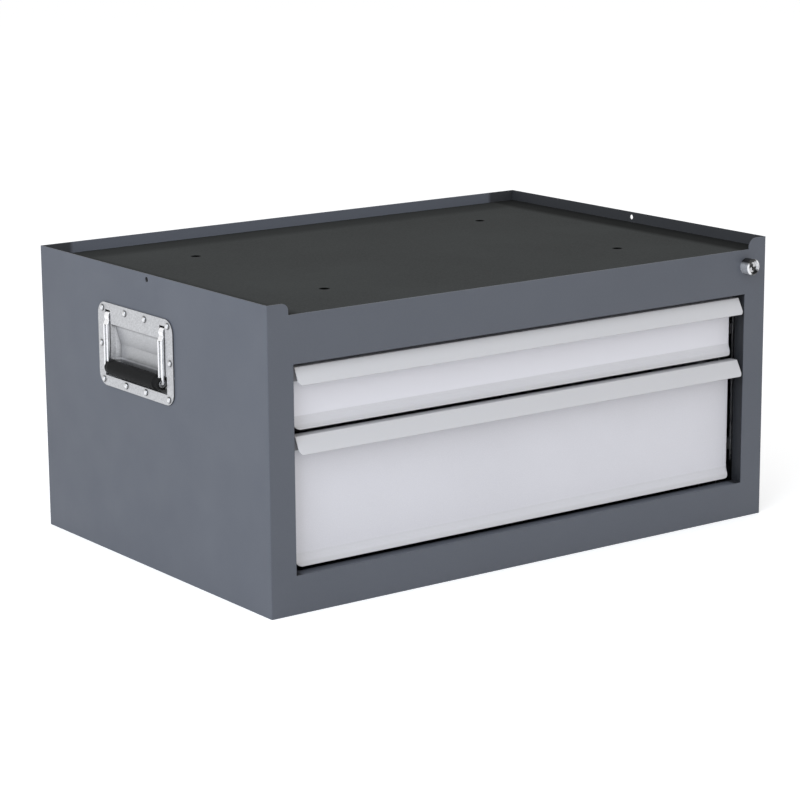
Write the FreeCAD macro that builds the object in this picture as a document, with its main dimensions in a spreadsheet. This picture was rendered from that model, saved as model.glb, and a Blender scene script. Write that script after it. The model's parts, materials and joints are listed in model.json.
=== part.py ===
"""Two-drawer steel top chest: folded housing, telescopic slides, sprung side handles and a key lock.

Millimetres, +Z up, front towards -Y.  The origin is the centre of the housing's underside.
Every size is a cell of the spreadsheet Sizes, and every sub-part is bound to those cells.
"""
import FreeCAD
import Part
import os
import re
import Sketcher

SIZES = (
    # housing
    ("ChestWidth", 660, "over the side panels"),
    ("ChestDepth", 448, "front face to back panel"),
    ("ChestHeight", 316, "underside to rim"),
    ("PanelGauge", 1.2, "side, back, top and bottom sheet"),
    ("FrameGauge", 1.5, "front frame sheet"),
    ("RimHeight", 12, "rim above the mat"),
    ("MatThickness", 2, "top mat"),
    ("MatGap", 0.5, "mat to rims"),
    ("PanWall", 15, "flange height of the top and bottom panels"),
    ("BendRadius", 2.5, "outside radius of the pans' bends"),
    ("RimHoleRadius", 2.8, "hole in each side rim"),
    ("RimHoleDrop", 6, "rim hole below the rim's edge"),
    ("BoltSpacingX", 393, "stacking bolts, side to side"),
    ("BoltSpacingY", 247, "stacking bolts, front to back"),
    ("BoltCentreY", -5, "middle of the bolt pattern"),
    ("BoltHoleRadius", 4.5, "stacking bolt holes"),
    # front frame
    ("OpeningWidth", 600, "drawer opening"),
    ("OpeningBottom", 40, "underside to the opening"),
    ("TopRail", 61.5, "rim's edge to the top of the opening"),
    ("ReturnDepth", 15, "return flange round the opening"),
    ("TabWidth", 25, "corner tabs that rise to the rim"),
    ("TabRadiusLeft", 7.5, "rounded corner of the left tab"),
    ("TabRadiusRight", 10.5, "rounded corner of the right tab"),
    ("FrameEdgeRadius", 0.8, "outer upright edges of the frame"),
    # slide uprights
    ("UprightWidth", 30, "along the chest's depth"),
    ("UprightGauge", 1.5, "upright sheet"),
    ("UprightInset", 40, "front face to the front upright"),
    ("UprightRearInset", 70, "back face to the rear upright's back edge"),
    # telescopic slides
    ("SlideRearGap", 16, "slides' rear ends to the back face"),
    ("SlideInset", 32, "front face to the slides' front ends"),
    ("SlideThickness", 12.7, "upright to drawer side"),
    ("SlideGauge", 1.2, "member sheet"),
    ("RaceDepth", 0.7, "rolled ball groove"),
    ("RaceWidth", 3.6, "flat floor of the ball groove"),
    ("RaceFlare", 0.85, "run of the groove's sloped walls"),
    ("BallPlane", 7.4, "ball centres off the upright"),
    ("BallRadius", 1.4, "slide balls"),
    ("BallClearance", 0.1, "ball to each race"),
    ("OuterRaceHeight", 17.9, "half height between the outer member's races"),
    ("MiddleWebInset", 2.6, "middle member's web off the upright"),
    ("CageGauge", 0.5, "ball cage strip"),
    ("CageGap", 0.3, "inner cage to the middle member's web"),
    ("CageLip", 0.2, "cage flanges beyond the ball groove"),
    ("CageLength", 150, "ball cages"),
    ("BallPitch", 30, "spacing of the balls in a cage"),
    # drawers
    ("DrawerGauge", 1, "drawer sheet"),
    ("UpperFrontHeight", 65, "upper front"),
    ("UpperFrontGap", 4.2, "upper front below the opening's top"),
    ("LowerFrontGap", 5, "lower front above the opening's bottom"),
    ("FrontGap", 5, "between the two fronts"),
    ("PanelRecess", 16, "drawer panel behind the frame's face"),
    ("PanelGap", 8, "drawer panel to the opening's side"),
    ("LipGap", 4.4, "pull lip to the opening's side"),
    ("LipSetback", 5, "lip's top edge behind the frame's face"),
    ("LipProud", 4, "lip's bottom edge in front of the frame's face"),
    ("LipHeight", 17.5, "height of the pull lip"),
    ("LipHem", 3.5, "fold back along the lip's bottom edge"),
    ("LipHemInset", 13, "ends of the fold from the lip's ends"),
    ("LipCornerRadius", 5, "bottom corners of the lip"),
    ("FlareHeight", 14, "flared foot of the panel"),
    ("FlareProud", 5.5, "foot's edge in front of the panel"),
    ("FlareSteps", 4, "bends that make the foot's curve"),
    ("FlareCornerRadius", 6, "bottom corners of the foot"),
    ("SideReturn", 4, "panel edges folded back"),
    ("TrayLift", 6.5, "tray floor above the front's bottom edge"),
    ("TrayTopDrop", 8, "tray wall below the front's top"),
    ("TrayRearGap", 31, "tray to the back face"),
    ("TrayBend", 2, "outside radius of the trays' bends"),
    ("LinerThickness", 2, "drawer liner"),
    ("LinerGap", 3, "liner to tray wall"),
    ("UpperSlideDrop", 29, "slide centre below the upper tray's top"),
    ("LowerSlideDrop", 62, "slide centre below the lower tray's top"),
    # recessed handles
    ("HandleOffset", 24.6, "plate centre behind the chest's middle"),
    ("HandleDrop", 86.8, "plate centre below the rim's edge"),
    ("PlateLength", 150, "handle plate, along the chest's depth"),
    ("PlateHeight", 90, "handle plate, upright"),
    ("PlateGauge", 1.5, "handle plate sheet"),
    ("PlateRadius", 14, "plate corners"),
    ("DishGauge", 1.2, "wall of the pressed dish"),
    ("DishDepth", 8, "dish behind the panel's face"),
    ("DishArmGap", 0.2, "dish wall to the bail's arms, along the chest's depth"),
    ("DishTop", 23, "dish opening above the plate's centre"),
    ("DishStep", 3, "depth of the dish at its upper edge"),
    ("DishCrease", 0.8, "foot of the sloped upper face, above the centre"),
    ("DishEndTaper", 4, "slope of the dish's ends"),
    ("TroughHalfLength", 62.4, "grip trough, half of its length"),
    ("TroughTop", -15, "top of the grip trough from the plate's centre"),
    ("TroughBottom", -34.1, "bottom of the grip trough from the plate's centre"),
    ("TroughTaper", 1.6, "slope of the trough's walls"),
    ("CutoutGap", 0.4, "dish to the panel's cut-out"),
    ("PivotDepth", 3.1, "pivot pin behind the panel's face"),
    ("PivotHeight", 30.2, "pivot pin above the plate's centre"),
    ("PinRadius", 1.75, "pivot pin"),
    ("PinOverhang", 1.2, "peened pin end beyond its ear"),
    ("RunningFit", 0.06, "radial clearance of turning fits"),
    ("EyeRadius", 6.4, "eye at the top of each bail arm"),
    ("ArmOffset", 55, "arm centre from the plate's centre"),
    ("ArmWidth", 8.4, "arm, along the chest's depth"),
    ("ArmThickness", 3, "arm strap"),
    ("ArmStandoff", 0.3, "arm to the plate's face"),
    ("ArmGrooveWidth", 4, "groove pressed along the arm's face"),
    ("ArmGrooveDepth", 1.1, "groove pressed along the arm's face"),
    ("NeckHalfHeight", 2.1, "half height of the arm's neck at the eye"),
    ("SlotGap", 0.8, "arm to the plate's slot"),
    ("EarGauge", 1.5, "ears that hold the pin"),
    ("GripRadius", 8, "rubber grip"),
    ("GripLength", 121, "rubber grip"),
    ("GripDrop", -23.6, "grip axis from the plate's centre"),
    ("GripAxisOut", 2, "grip axis in front of the panel's face"),
    ("GripEndRadius", 3, "rounded grip ends"),
    ("CrossbarRadius", 4, "bar inside the grip"),
    ("CoilLength", 18, "torsion spring body"),
    ("CoilClearance", 0.25, "spring on its pin"),
    ("SpringWire", 0.45, "radius of the spring wire"),
    ("RivetCornerOffset", 65.8, "corner rivets from the centre"),
    ("RivetSideOffset", 69, "middle rivets from the centre"),
    ("RivetInnerOffset", 19.9, "inner rivets from the centre"),
    ("RivetRowTop", 38.4, "upper rivets above the centre"),
    ("RivetRowBottom", -38.9, "lower rivets from the centre"),
    ("RivetHeadRadius", 3.1, "rivet head"),
    ("RivetHeadHeight", 1.4, "rivet head"),
    ("RivetShankRadius", 2, "rivet shank"),
    ("RivetTailRadius", 2.7, "flared end inside the panel"),
    ("RivetTailHeight", 1, "flared end inside the panel"),
    # lock
    ("LockX", 301.5, "lock right of the chest's middle"),
    ("LockDrop", 30, "lock below the rim's edge"),
    ("LockHeadRadius", 9, "lock head"),
    ("LockHeadLength", 12, "lock head in front of the frame"),
    ("LockRimWidth", 2, "raised ring round the plug"),
    ("LockRimDepth", 2.2, "plug face below the ring"),
    ("LockBodyRadius", 7.5, "threaded body"),
    ("LockBodyLength", 14, "threaded body behind the frame's face"),
    ("LockHoleGap", 0.2, "body to the frame's hole"),
    ("PlugRadius", 5.5, "plug"),
    ("KeywayWidth", 1.6, "keyway"),
    ("KeywayHeight", 7, "keyway"),
    ("KeywayDepth", 9, "keyway"),
    ("TangSide", 5, "square tang that drives the cam"),
    ("NutAcrossFlats", 20, "lock nut"),
    ("NutThickness", 4, "lock nut"),
    ("CamThickness", 2.4, "cam disc"),
    ("CamRadius", 10.7, "cam disc"),
    ("CamThrow", 7.5, "drive pin off the plug's axis"),
    ("CamPinRadius", 1.8, "drive pin"),
    ("CamPinReach", 7, "drive pin behind the cam"),
    ("CamRestAngle", 45, "drive pin above the horizontal when unlocked"),
    ("CamScrewRadius", 4, "head of the cam screw"),
    ("CamScrewHeight", 2, "head of the cam screw"),
    ("BarGauge", 2, "lock bar strip"),
    ("BarFront", 20.5, "lock bar behind the frame's face"),
    ("BarInner", 302.5, "lock bar's inner edge from the chest's middle"),
    ("BarWidth", 16, "lock bar strip"),
    ("BarTopDrop", 20, "top of the unlocked lock bar below the rim's edge"),
    ("BarBottom", 62, "foot of the lock bar when unlocked"),
    ("BarSlotGap", 0.4, "drive pin to the bar's slot"),
    ("HookReach", 9, "hooks inward of the bar"),
    ("HookHeight", 6, "hooks"),
    ("CatchHeight", 5, "catch on each drawer"),
    ("CatchReach", 11.2, "catch outward of the tray"),
    ("CatchGauge", 1.2, "catch sheet"),
    ("CatchBase", 14, "catch foot along the tray"),
    ("CatchBehindBar", 3.5, "catch face behind the hook"),
    ("HookClearance", 2, "unlocked hook above its catch"),
    ("CatchDrop", 1.5, "upper catch below the tray's top"),
    ("LowerCatchDrop", 17, "lower catch below the tray's top"),
    ("GuideGap", 0.4, "lock bar in its guides"),
    ("GuideWall", 1.5, "guide sheet"),
    ("GuideHeight", 12, "bar guides"),
    ("UpperGuideDrop", 48, "upper guide's foot below the opening's top"),
    ("LowerGuideHeight", 74, "lower guide above the underside"),
)

document = FreeCAD.newDocument("ToolChest")
sheet = document.addObject("Spreadsheet::Sheet", "Sizes")
for row, (alias, value, meaning) in enumerate(SIZES, start=1):
    sheet.set(f"A{row}", meaning)
    sheet.set(f"B{row}", str(value))
    sheet.setAlias(f"B{row}", alias)
document.recompute()

LEFT = -1
RIGHT = 1
ALIAS = re.compile(r"\b[A-Z][A-Za-z]+\b")
sub_parts = []

# positions that several pieces share, as formulas of the sheet
PAN_WIDTH = "(ChestWidth - 2*PanelGauge)"
PAN_DEPTH = "(ChestDepth - FrameGauge - PanelGauge)"
PAN_FRONT = "(FrameGauge - ChestDepth/2)"
MAT_TOP = "(ChestHeight - RimHeight)"
TOP_PANEL_TOP = f"({MAT_TOP} - MatThickness)"
OPENING_TOP = "(ChestHeight - TopRail)"
UPPER_BOTTOM = f"({OPENING_TOP} - UpperFrontGap - UpperFrontHeight)"
LOWER_BOTTOM = "(OpeningBottom + LowerFrontGap)"
LOWER_HEIGHT = f"({UPPER_BOTTOM} - FrontGap - {LOWER_BOTTOM})"
HANDLE_HEIGHT = "(ChestHeight - HandleDrop)"
LOCK_HEIGHT = "(ChestHeight - LockDrop)"
SLIDE_FRONT = "(SlideInset - ChestDepth/2)"
SLIDE_LENGTH = "(ChestDepth - SlideInset - SlideRearGap)"
TRAY_LENGTH = "(ChestDepth - PanelRecess - DrawerGauge - TrayRearGap)"
TRAY_WIDTH = "(OpeningWidth - 2*SlideThickness)"
TRAY_FRONT = "(PanelRecess + DrawerGauge - ChestDepth/2)"
MIDDLE_RACE = "(OuterRaceHeight - 2*BallRadius - 2*BallClearance)"
INNER_RACE = f"({MIDDLE_RACE} - SlideGauge - 2*BallRadius - 2*BallClearance)"
CAM_FRONT = "(LockBodyLength - ChestDepth/2)"
BAR_FRONT = "(BarFront - ChestDepth/2)"
STRAP_OUT = "(PlateGauge + ArmStandoff)"
ARM_SHOULDER = "(PivotHeight - EyeRadius - 2*ArmThickness/3)"
SLOT_TOP = "(PivotHeight + EyeRadius + SlotGap)"
REAR_UPRIGHT = "max(ChestDepth/2 - UprightRearInset - UprightWidth; HandleOffset + PlateLength/2 + CutoutGap)"
DISH_HALF_LENGTH = "(ArmOffset - ArmWidth/2 - DishArmGap - DishGauge)"
SLOT_BOTTOM = f"({ARM_SHOULDER} - ArmThickness/2 - SlotGap)"
SPRING_RADIUS = "(PinRadius + CoilClearance + 2*SpringWire)"
NUT_CORNER = "(NutAcrossFlats/2/cos(30))"


def sized(formula):
    """Turn a formula of sheet names into an expression."""
    return ALIAS.sub(r"Sizes.\g<0>", str(formula))


def number(formula):
    return float(sheet.evalExpression(sized(formula)))


def bind(item, slot, formula):
    item.setExpression(slot, sized(formula))


def place(item, x="0", y="0", z="0"):
    """Bind an object's place."""
    for axis, formula in zip("xyz", (x, y, z)):
        bind(item, f"Placement.Base.{axis}", formula)


def keep(item, label):
    """Name an object as one of the chest's sub-parts."""
    item.Label = label
    sub_parts.append(item)
    return item


# --- sketches -------------------------------------------------------------------------------


def draw(sketch, points, closed=True):
    """Draw straight runs through points whose two formulas are bound as distances."""
    spots = [(number(x), number(y)) for x, y in points]
    runs = len(spots) if closed else len(spots) - 1
    first = sketch.GeometryCount
    for run in range(runs):
        start = FreeCAD.Vector(*spots[run], 0)
        end = FreeCAD.Vector(*spots[(run + 1) % len(spots)], 0)
        sketch.addGeometry(Part.LineSegment(start, end), False)
    for run in range(runs - 1):
        sketch.addConstraint(Sketcher.Constraint("Coincident", first + run, 2, first + run + 1, 1))
    if closed:
        sketch.addConstraint(Sketcher.Constraint("Coincident", first + runs - 1, 2, first, 1))
    for index, point in enumerate(points):
        line, end = (index, 1) if index < runs else (runs - 1, 2)
        for kind, formula, value in zip(("DistanceX", "DistanceY"), point, spots[index]):
            tie = sketch.addConstraint(Sketcher.Constraint(kind, -1, 1, first + line, end, value))
            bind(sketch, f"Constraints[{tie}]", formula)


def draw_rectangle(sketch, left, right, bottom, top):
    draw(sketch, ((left, bottom), (right, bottom), (right, top), (left, top)))


def draw_circle(sketch, x, y, radius):
    """Draw a circle with its centre and radius bound."""
    centre = FreeCAD.Vector(number(x), number(y), 0)
    up = FreeCAD.Vector(0, 0, 1)
    index = sketch.addGeometry(Part.Circle(centre, up, number(radius)), False)
    tie = sketch.addConstraint(Sketcher.Constraint("Radius", index, number(radius)))
    bind(sketch, f"Constraints[{tie}]", radius)
    for kind, formula, value in (("DistanceX", x, centre.x), ("DistanceY", y, centre.y)):
        tie = sketch.addConstraint(Sketcher.Constraint(kind, -1, 1, index, 3, value))
        bind(sketch, f"Constraints[{tie}]", formula)


def body_sketch(body, plane, offset="0"):
    """Add a sketch on one of the body's own origin planes, moved along that plane's normal."""
    sketch = body.newObject("Sketcher::SketchObject", "Profile")
    base = next(item for item in body.Origin.OriginFeatures if item.Role == plane)
    sketch.AttachmentSupport = (base, [""])
    sketch.MapMode = "FlatFace"
    bind(sketch, "AttachmentOffset.Base.z", offset)
    return sketch


# --- features -------------------------------------------------------------------------------


def new_body(label):
    return keep(document.addObject("PartDesign::Body", "Body"), label)


def pad(body, sketch, length, backwards=False):
    feature = body.newObject("PartDesign::Pad", "Pad")
    feature.Profile = sketch
    bind(feature, "Length", length)
    feature.Reversed = backwards
    document.recompute()
    return feature


def pocket(body, sketch, length, backwards=False):
    """Cut a sketch away and make sure that it took material."""
    before = body.Shape.Volume
    feature = body.newObject("PartDesign::Pocket", "Pocket")
    feature.Profile = sketch
    bind(feature, "Length", length)
    feature.Reversed = backwards
    document.recompute()
    if not body.Shape.Volume < before:
        raise RuntimeError(f"a pocket of {body.Label} cuts nothing")
    return feature


def round_edges(body, radius, chooser):
    """Fillet the edges of the body's tip that the chooser accepts."""
    base = body.Tip
    names = [f"Edge{n}" for n, edge in enumerate(base.Shape.Edges, start=1) if chooser(edge)]
    if not names:
        raise RuntimeError(f"no edge of {body.Label} to round")
    feature = body.newObject("PartDesign::Fillet", "Fillet")
    feature.Base = (base, names)
    bind(feature, "Radius", radius)
    document.recompute()
    return feature


def revolve(body, sketch, axis="V_Axis"):
    feature = body.newObject("PartDesign::Revolution", "Revolution")
    feature.Profile = sketch
    feature.ReferenceAxis = (sketch, [axis])
    feature.Angle = 360
    document.recompute()
    return feature


def parallel(edge, axis):
    """Whether an edge is straight along one axis, named x, y or z."""
    box = edge.BoundBox
    sizes = {"x": box.XLength, "y": box.YLength, "z": box.ZLength}
    along = sizes.pop(axis)
    return along > 1e-3 and max(sizes.values()) < 1e-6


def near(value, formula):
    return abs(value - number(formula)) < 1e-4


def folded_sheet(points, gauge, length, along):
    """Offset an open line by the sheet's gauge, with round outer bends, and extrude it.

    Points are (x, z) for a sheet that runs along y, (y, z) along x and (x, y) along z.
    A positive gauge puts the metal on the right of the line's direction.
    """
    line = document.addObject("Sketcher::SketchObject", "FoldLine")
    turns = {
        "y": FreeCAD.Rotation(FreeCAD.Vector(1, 0, 0), 90),
        "x": FreeCAD.Rotation(FreeCAD.Vector(1, 1, 1), 120),
        "z": FreeCAD.Rotation(),
    }
    line.Placement = FreeCAD.Placement(FreeCAD.Vector(), turns[along])
    draw(line, points, closed=False)
    wall = document.addObject("Part::Offset2D", "SheetWall")
    wall.Source = line
    wall.Mode = "Skin"
    wall.Join = "Arc"
    wall.Fill = True
    bind(wall, "Value", gauge)
    run = document.addObject("Part::Extrusion", "FoldedSheet")
    run.Base = wall
    run.DirMode = "Custom"
    run.Dir = FreeCAD.Vector(along == "x", along == "y", along == "z")
    run.Solid = True
    bind(run, "LengthFwd", length)
    document.recompute()
    return run


def block(x, y, z, width, depth, height):
    """A box whose low corner and sizes are bound."""
    item = document.addObject("Part::Box", "Block")
    for slot, formula in (("Length", width), ("Width", depth), ("Height", height)):
        bind(item, slot, formula)
    place(item, x, y, z)
    return item


def rod(radius, length, x, y, z, axis):
    """A cylinder along the named axis from its low end."""
    item = document.addObject("Part::Cylinder", "Rod")
    bind(item, "Radius", radius)
    bind(item, "Height", length)
    turns = {
        "x": FreeCAD.Rotation(FreeCAD.Vector(0, 1, 0), 90),
        "y": FreeCAD.Rotation(FreeCAD.Vector(1, 0, 0), -90),
        "z": FreeCAD.Rotation(),
    }
    item.Placement = FreeCAD.Placement(FreeCAD.Vector(), turns[axis])
    place(item, x, y, z)
    return item


def fuse(items):
    item = document.addObject("Part::MultiFuse", "Joined")
    item.Shapes = list(items)
    item.Refine = True
    document.recompute()
    return item


def cut(base, tools):
    """Take tools away from a base and make sure that each one took material."""
    item = document.addObject("Part::Cut", "Trimmed")
    item.Base = base
    item.Tool = tools[0] if len(tools) == 1 else fuse(tools)
    document.recompute()
    if not item.Shape.Volume < base.Shape.Volume:
        raise RuntimeError("a cut takes nothing away")
    return item


def group(items):
    """Several separate solids that make one sub-part."""
    item = document.addObject("Part::Compound", "Group")
    item.Links = list(items)
    document.recompute()
    return item


def pan(label, width, depth, height, gauge, bend, opening_down=False):
    """A pressed pan, centred in x, from y = 0: a block with its bends rounded, then shelled."""
    body = new_body(label)
    profile = body_sketch(body, "XY_Plane")
    draw_rectangle(profile, f"-{width}/2", f"{width}/2", "0", depth)
    pad(body, profile, height, backwards=opening_down)
    box = body.Tip.Shape.BoundBox
    mouth = box.ZMin if opening_down else box.ZMax

    def is_bend(edge):
        return not parallel(edge, "z") and abs(edge.BoundBox.Center.z - mouth) > 1e-3

    round_edges(body, bend, is_bend)
    base = body.Tip
    open_face = [
        f"Face{n}" for n, face in enumerate(base.Shape.Faces, start=1)
        if abs(face.BoundBox.ZMin - mouth) + abs(face.BoundBox.ZMax - mouth) < 1e-3
    ]
    shell = body.newObject("PartDesign::Thickness", "Shell")
    shell.Base = (base, open_face)
    bind(shell, "Value", gauge)
    shell.Reversed = True
    document.recompute()
    return body


# --- housing --------------------------------------------------------------------------------


def side_panel(side, label):
    """Side sheet with its rim hole and the cut-out that the handle dish drops into."""
    body = new_body(label)
    profile = body_sketch(body, "YZ_Plane")
    draw_rectangle(profile, PAN_FRONT, "ChestDepth/2", "0", "ChestHeight")
    draw_circle(profile, "0", "ChestHeight - RimHoleDrop", "RimHoleRadius")
    pad(body, profile, "PanelGauge", backwards=side == RIGHT)
    dish = body_sketch(body, "YZ_Plane")
    middle = "(HandleOffset)"
    half = "(TroughHalfLength + DishGauge + CutoutGap/2)"
    draw_rectangle(
        dish,
        f"{middle} - {half}",
        f"{middle} + {half}",
        f"{HANDLE_HEIGHT} + TroughBottom - DishGauge - CutoutGap",
        f"{HANDLE_HEIGHT} + PivotHeight + {SPRING_RADIUS} + CutoutGap",
    )
    pocket(body, dish, "PanelGauge", backwards=side == LEFT)
    for end in (LEFT, RIGHT):
        notch = body_sketch(body, "YZ_Plane")
        arm = f"({middle} + {end}*ArmOffset)"
        room = "(ArmWidth/2 + SlotGap + EarGauge + CutoutGap)"
        draw_rectangle(
            notch,
            f"{arm} - {room}",
            f"{arm} + {room}",
            f"{HANDLE_HEIGHT} + PivotHeight",
            f"{HANDLE_HEIGHT} + {SLOT_TOP}",
        )
        pocket(body, notch, "PanelGauge", backwards=side == LEFT)
    rivet_holes = body_sketch(body, "YZ_Plane")
    for y, z in rivet_places():
        draw_circle(rivet_holes, f"{middle} + {y}", f"{HANDLE_HEIGHT} + {z}", "RivetShankRadius")
    pocket(body, rivet_holes, "PanelGauge", backwards=side == LEFT)
    place(body, x=f"{side}*ChestWidth/2")


def back_panel():
    body = new_body("back_panel")
    profile = body_sketch(body, "XZ_Plane")
    draw_rectangle(profile, f"-{PAN_WIDTH}/2", f"{PAN_WIDTH}/2", "0", "ChestHeight")
    pad(body, profile, "PanelGauge")
    place(body, y="ChestDepth/2")


def front_frame():
    """Front sheet with its corner tabs, the drawer opening and the return flange round it."""
    body = new_body("front_frame")
    face = body_sketch(body, "XZ_Plane")
    edge = "ChestWidth/2"
    draw(face, (
        (f"-{edge}", "0"),
        (edge, "0"),
        (edge, "ChestHeight"),
        (f"{edge} - TabWidth", "ChestHeight"),
        (f"{edge} - TabWidth", MAT_TOP),
        (f"TabWidth - {edge}", MAT_TOP),
        (f"TabWidth - {edge}", "ChestHeight"),
        (f"-{edge}", "ChestHeight"),
    ))
    pad(body, face, "FrameGauge", backwards=True)
    opening = body_sketch(body, "XZ_Plane")
    half = "OpeningWidth/2"
    draw_rectangle(opening, f"-{half}", half, "OpeningBottom", OPENING_TOP)
    pocket(body, opening, "FrameGauge")
    flange = body_sketch(body, "XZ_Plane")
    outer = f"{half} + FrameGauge"
    draw_rectangle(
        flange, f"-({outer})", outer, "OpeningBottom - FrameGauge", f"{OPENING_TOP} + FrameGauge"
    )
    draw_rectangle(flange, f"-{half}", half, "OpeningBottom", OPENING_TOP)
    pad(body, flange, "ReturnDepth", backwards=True)
    lock = body_sketch(body, "XZ_Plane")
    draw_circle(lock, "LockX", LOCK_HEIGHT, "LockBodyRadius + LockHoleGap")
    pocket(body, lock, "FrameGauge")
    tabs = ((LEFT, "TabRadiusLeft"), (RIGHT, "TabRadiusRight"))
    for side, radius in tabs:
        corner = f"{side}*({edge} - TabWidth)"

        def is_tab_corner(rim):
            centre = rim.BoundBox.Center
            return parallel(rim, "y") and near(centre.x, corner) and near(centre.z, "ChestHeight")

        round_edges(body, radius, is_tab_corner)

    def is_outer_upright(rim):
        centre = rim.BoundBox.Center
        return parallel(rim, "z") and near(abs(centre.x), edge) and near(centre.y, "0")

    round_edges(body, "FrameEdgeRadius", is_outer_upright)
    place(body, y="-ChestDepth/2")


def bottom_panel():
    body = pan("bottom_panel", PAN_WIDTH, PAN_DEPTH, "PanWall", "PanelGauge", "BendRadius")
    place(body, y=PAN_FRONT)


def drill_bolt_holes(body, depth, start="0"):
    """Four holes for the bolts that join another chest on top."""
    holes = body_sketch(body, "XY_Plane", offset=start)
    for x in ("-BoltSpacingX/2", "BoltSpacingX/2"):
        for y in ("-BoltSpacingY/2", "BoltSpacingY/2"):
            draw_circle(holes, x, f"BoltCentreY - {PAN_FRONT} + {y}", "BoltHoleRadius")
    pocket(body, holes, depth)


def top_panel():
    """Pressed tray floor, open downwards, notched behind the lock."""
    body = pan(
        "top_panel", PAN_WIDTH, PAN_DEPTH, "PanWall", "PanelGauge", "BendRadius", opening_down=True
    )
    drill_bolt_holes(body, "PanelGauge")
    notch = body_sketch(body, "XY_Plane", offset="-PanelGauge - BendRadius")
    half = f"(max(CamRadius; {NUT_CORNER}) + MatGap)"
    reach = "BendRadius + PanelGauge"
    draw_rectangle(notch, f"LockX - {half}", f"LockX + {half}", f"-({reach})", reach)
    pocket(body, notch, "PanWall")
    place(body, y=PAN_FRONT, z=TOP_PANEL_TOP)


def top_mat():
    """Loose mat on the tray floor, level with the front frame's top edge."""
    body = new_body("top_mat")
    profile = body_sketch(body, "XY_Plane")
    half = f"({PAN_WIDTH}/2 - MatGap)"
    draw_rectangle(profile, f"-{half}", half, "0", f"{PAN_DEPTH} - MatGap")
    pad(body, profile, "MatThickness")
    drill_bolt_holes(body, "MatThickness", start="MatThickness")
    place(body, y=PAN_FRONT, z=TOP_PANEL_TOP)


def slide_upright(side, label, front):
    """Channel between the top and bottom panels, notched where it meets the bends of the pans."""
    web = f"{side}*(OpeningWidth/2)"
    foot = f"{side}*({PAN_WIDTH}/2 - PanelGauge)"
    shoulder = f"{side}*(OpeningWidth/2 + UprightGauge)"
    inset = "UprightGauge"
    channel = new_body(label)
    profile = body_sketch(channel, "XY_Plane")
    draw(profile, (
        (web, "0"),
        (foot, "0"),
        (foot, inset),
        (shoulder, inset),
        (shoulder, f"UprightWidth - {inset}"),
        (foot, f"UprightWidth - {inset}"),
        (foot, "UprightWidth"),
        (web, "UprightWidth"),
    ))
    height = f"({TOP_PANEL_TOP} - 2*PanelGauge)"
    pad(channel, profile, height)
    corners = body_sketch(channel, "XZ_Plane")
    outer, inner = foot, f"{side}*({PAN_WIDTH}/2 - BendRadius)"
    left, right = (inner, outer) if side == RIGHT else (outer, inner)
    draw_rectangle(corners, left, right, "0", "BendRadius - PanelGauge")
    draw_rectangle(corners, left, right, f"{height} - BendRadius + PanelGauge", height)
    pocket(channel, corners, "UprightWidth")
    place(channel, y=front, z="PanelGauge")


# --- telescopic slides ----------------------------------------------------------------------


def mirrored_profile(points):
    """The points, then the same points below the axis in the opposite order."""
    below = [(x, f"-({z})") for x, z in reversed(points)]
    return list(points) + below


def race_groove(race, rise):
    """Corners of a rolled ball groove from its far lip to its near shoulder."""
    lip = "BallPlane + RaceWidth/2"
    shoulder = "BallPlane - RaceWidth/2"
    return (
        (f"{lip} + RaceFlare", f"{race} - {rise}*RaceDepth"),
        (lip, race),
        (shoulder, race),
        (f"{shoulder} - RaceFlare", f"{race} - {rise}*RaceDepth"),
    )


def slide_member(side, label, half_profile, gauge, height):
    """Rolled channel along the chest's depth; its profile is measured from the upright."""
    points = [
        (f"{side}*(OpeningWidth/2 - ({inward}))", z) for inward, z in mirrored_profile(half_profile)
    ]
    member = folded_sheet(points, gauge, SLIDE_LENGTH, "y")
    place(member, y=SLIDE_FRONT, z=height)
    return keep(member, label)


def outer_member(side, label, height):
    near_end = race_groove("OuterRaceHeight", 1)
    points = near_end + (("SlideGauge", near_end[-1][1]),)
    slide_member(side, label, points, f"{side}*SlideGauge", height)


def middle_member(side, label, height):
    reach = "BallPlane + RaceWidth/2 + RaceDepth"
    points = ((reach, MIDDLE_RACE), ("MiddleWebInset", MIDDLE_RACE))
    slide_member(side, label, points, f"-{side}*SlideGauge", height)


def inner_member(side, label, height):
    far_wall, lip, shoulder, _ = race_groove(INNER_RACE, -1)
    points = (shoulder, lip, far_wall, ("SlideThickness", far_wall[1]))
    slide_member(side, label, points, f"{side}*SlideGauge", height)


def ball_cages(label, web, row, height):
    """A folded strip on each side with a window for every ball of its two rows."""
    cages = []
    tip = "BallPlane + RaceWidth/2 + CageLip"
    flange = f"({row} + CageGauge/2)"
    middle = f"({SLIDE_FRONT} + {SLIDE_LENGTH}/2)"
    room = "(BallRadius + BallClearance)"
    for side in (LEFT, RIGHT):
        half_profile = ((tip, flange), (web, flange))
        points = [
            (f"{side}*(OpeningWidth/2 - ({inward}))", z)
            for inward, z in mirrored_profile(half_profile)
        ]
        strip = folded_sheet(points, f"-{side}*CageGauge", "CageLength", "y")
        place(strip, y=f"{middle} - CageLength/2", z=height)
        windows = [
            block(
                f"{side}*(OpeningWidth/2 - BallPlane) - {room}",
                f"{middle} + {step}*BallPitch - {room}",
                f"{height} - {row} - 2*CageGauge",
                f"2*{room}",
                f"2*{room}",
                f"2*({row} + 2*CageGauge)",
            )
            for step in ball_steps()
        ]
        cages.append(cut(strip, windows))
    return keep(group(cages), label)


def ball_steps():
    """Places of the balls along a cage, in pitches from its middle."""
    count = int(number("CageLength") // number("BallPitch"))
    return [index - (count - 1)/2 for index in range(count)]


# --- drawers --------------------------------------------------------------------------------


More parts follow.
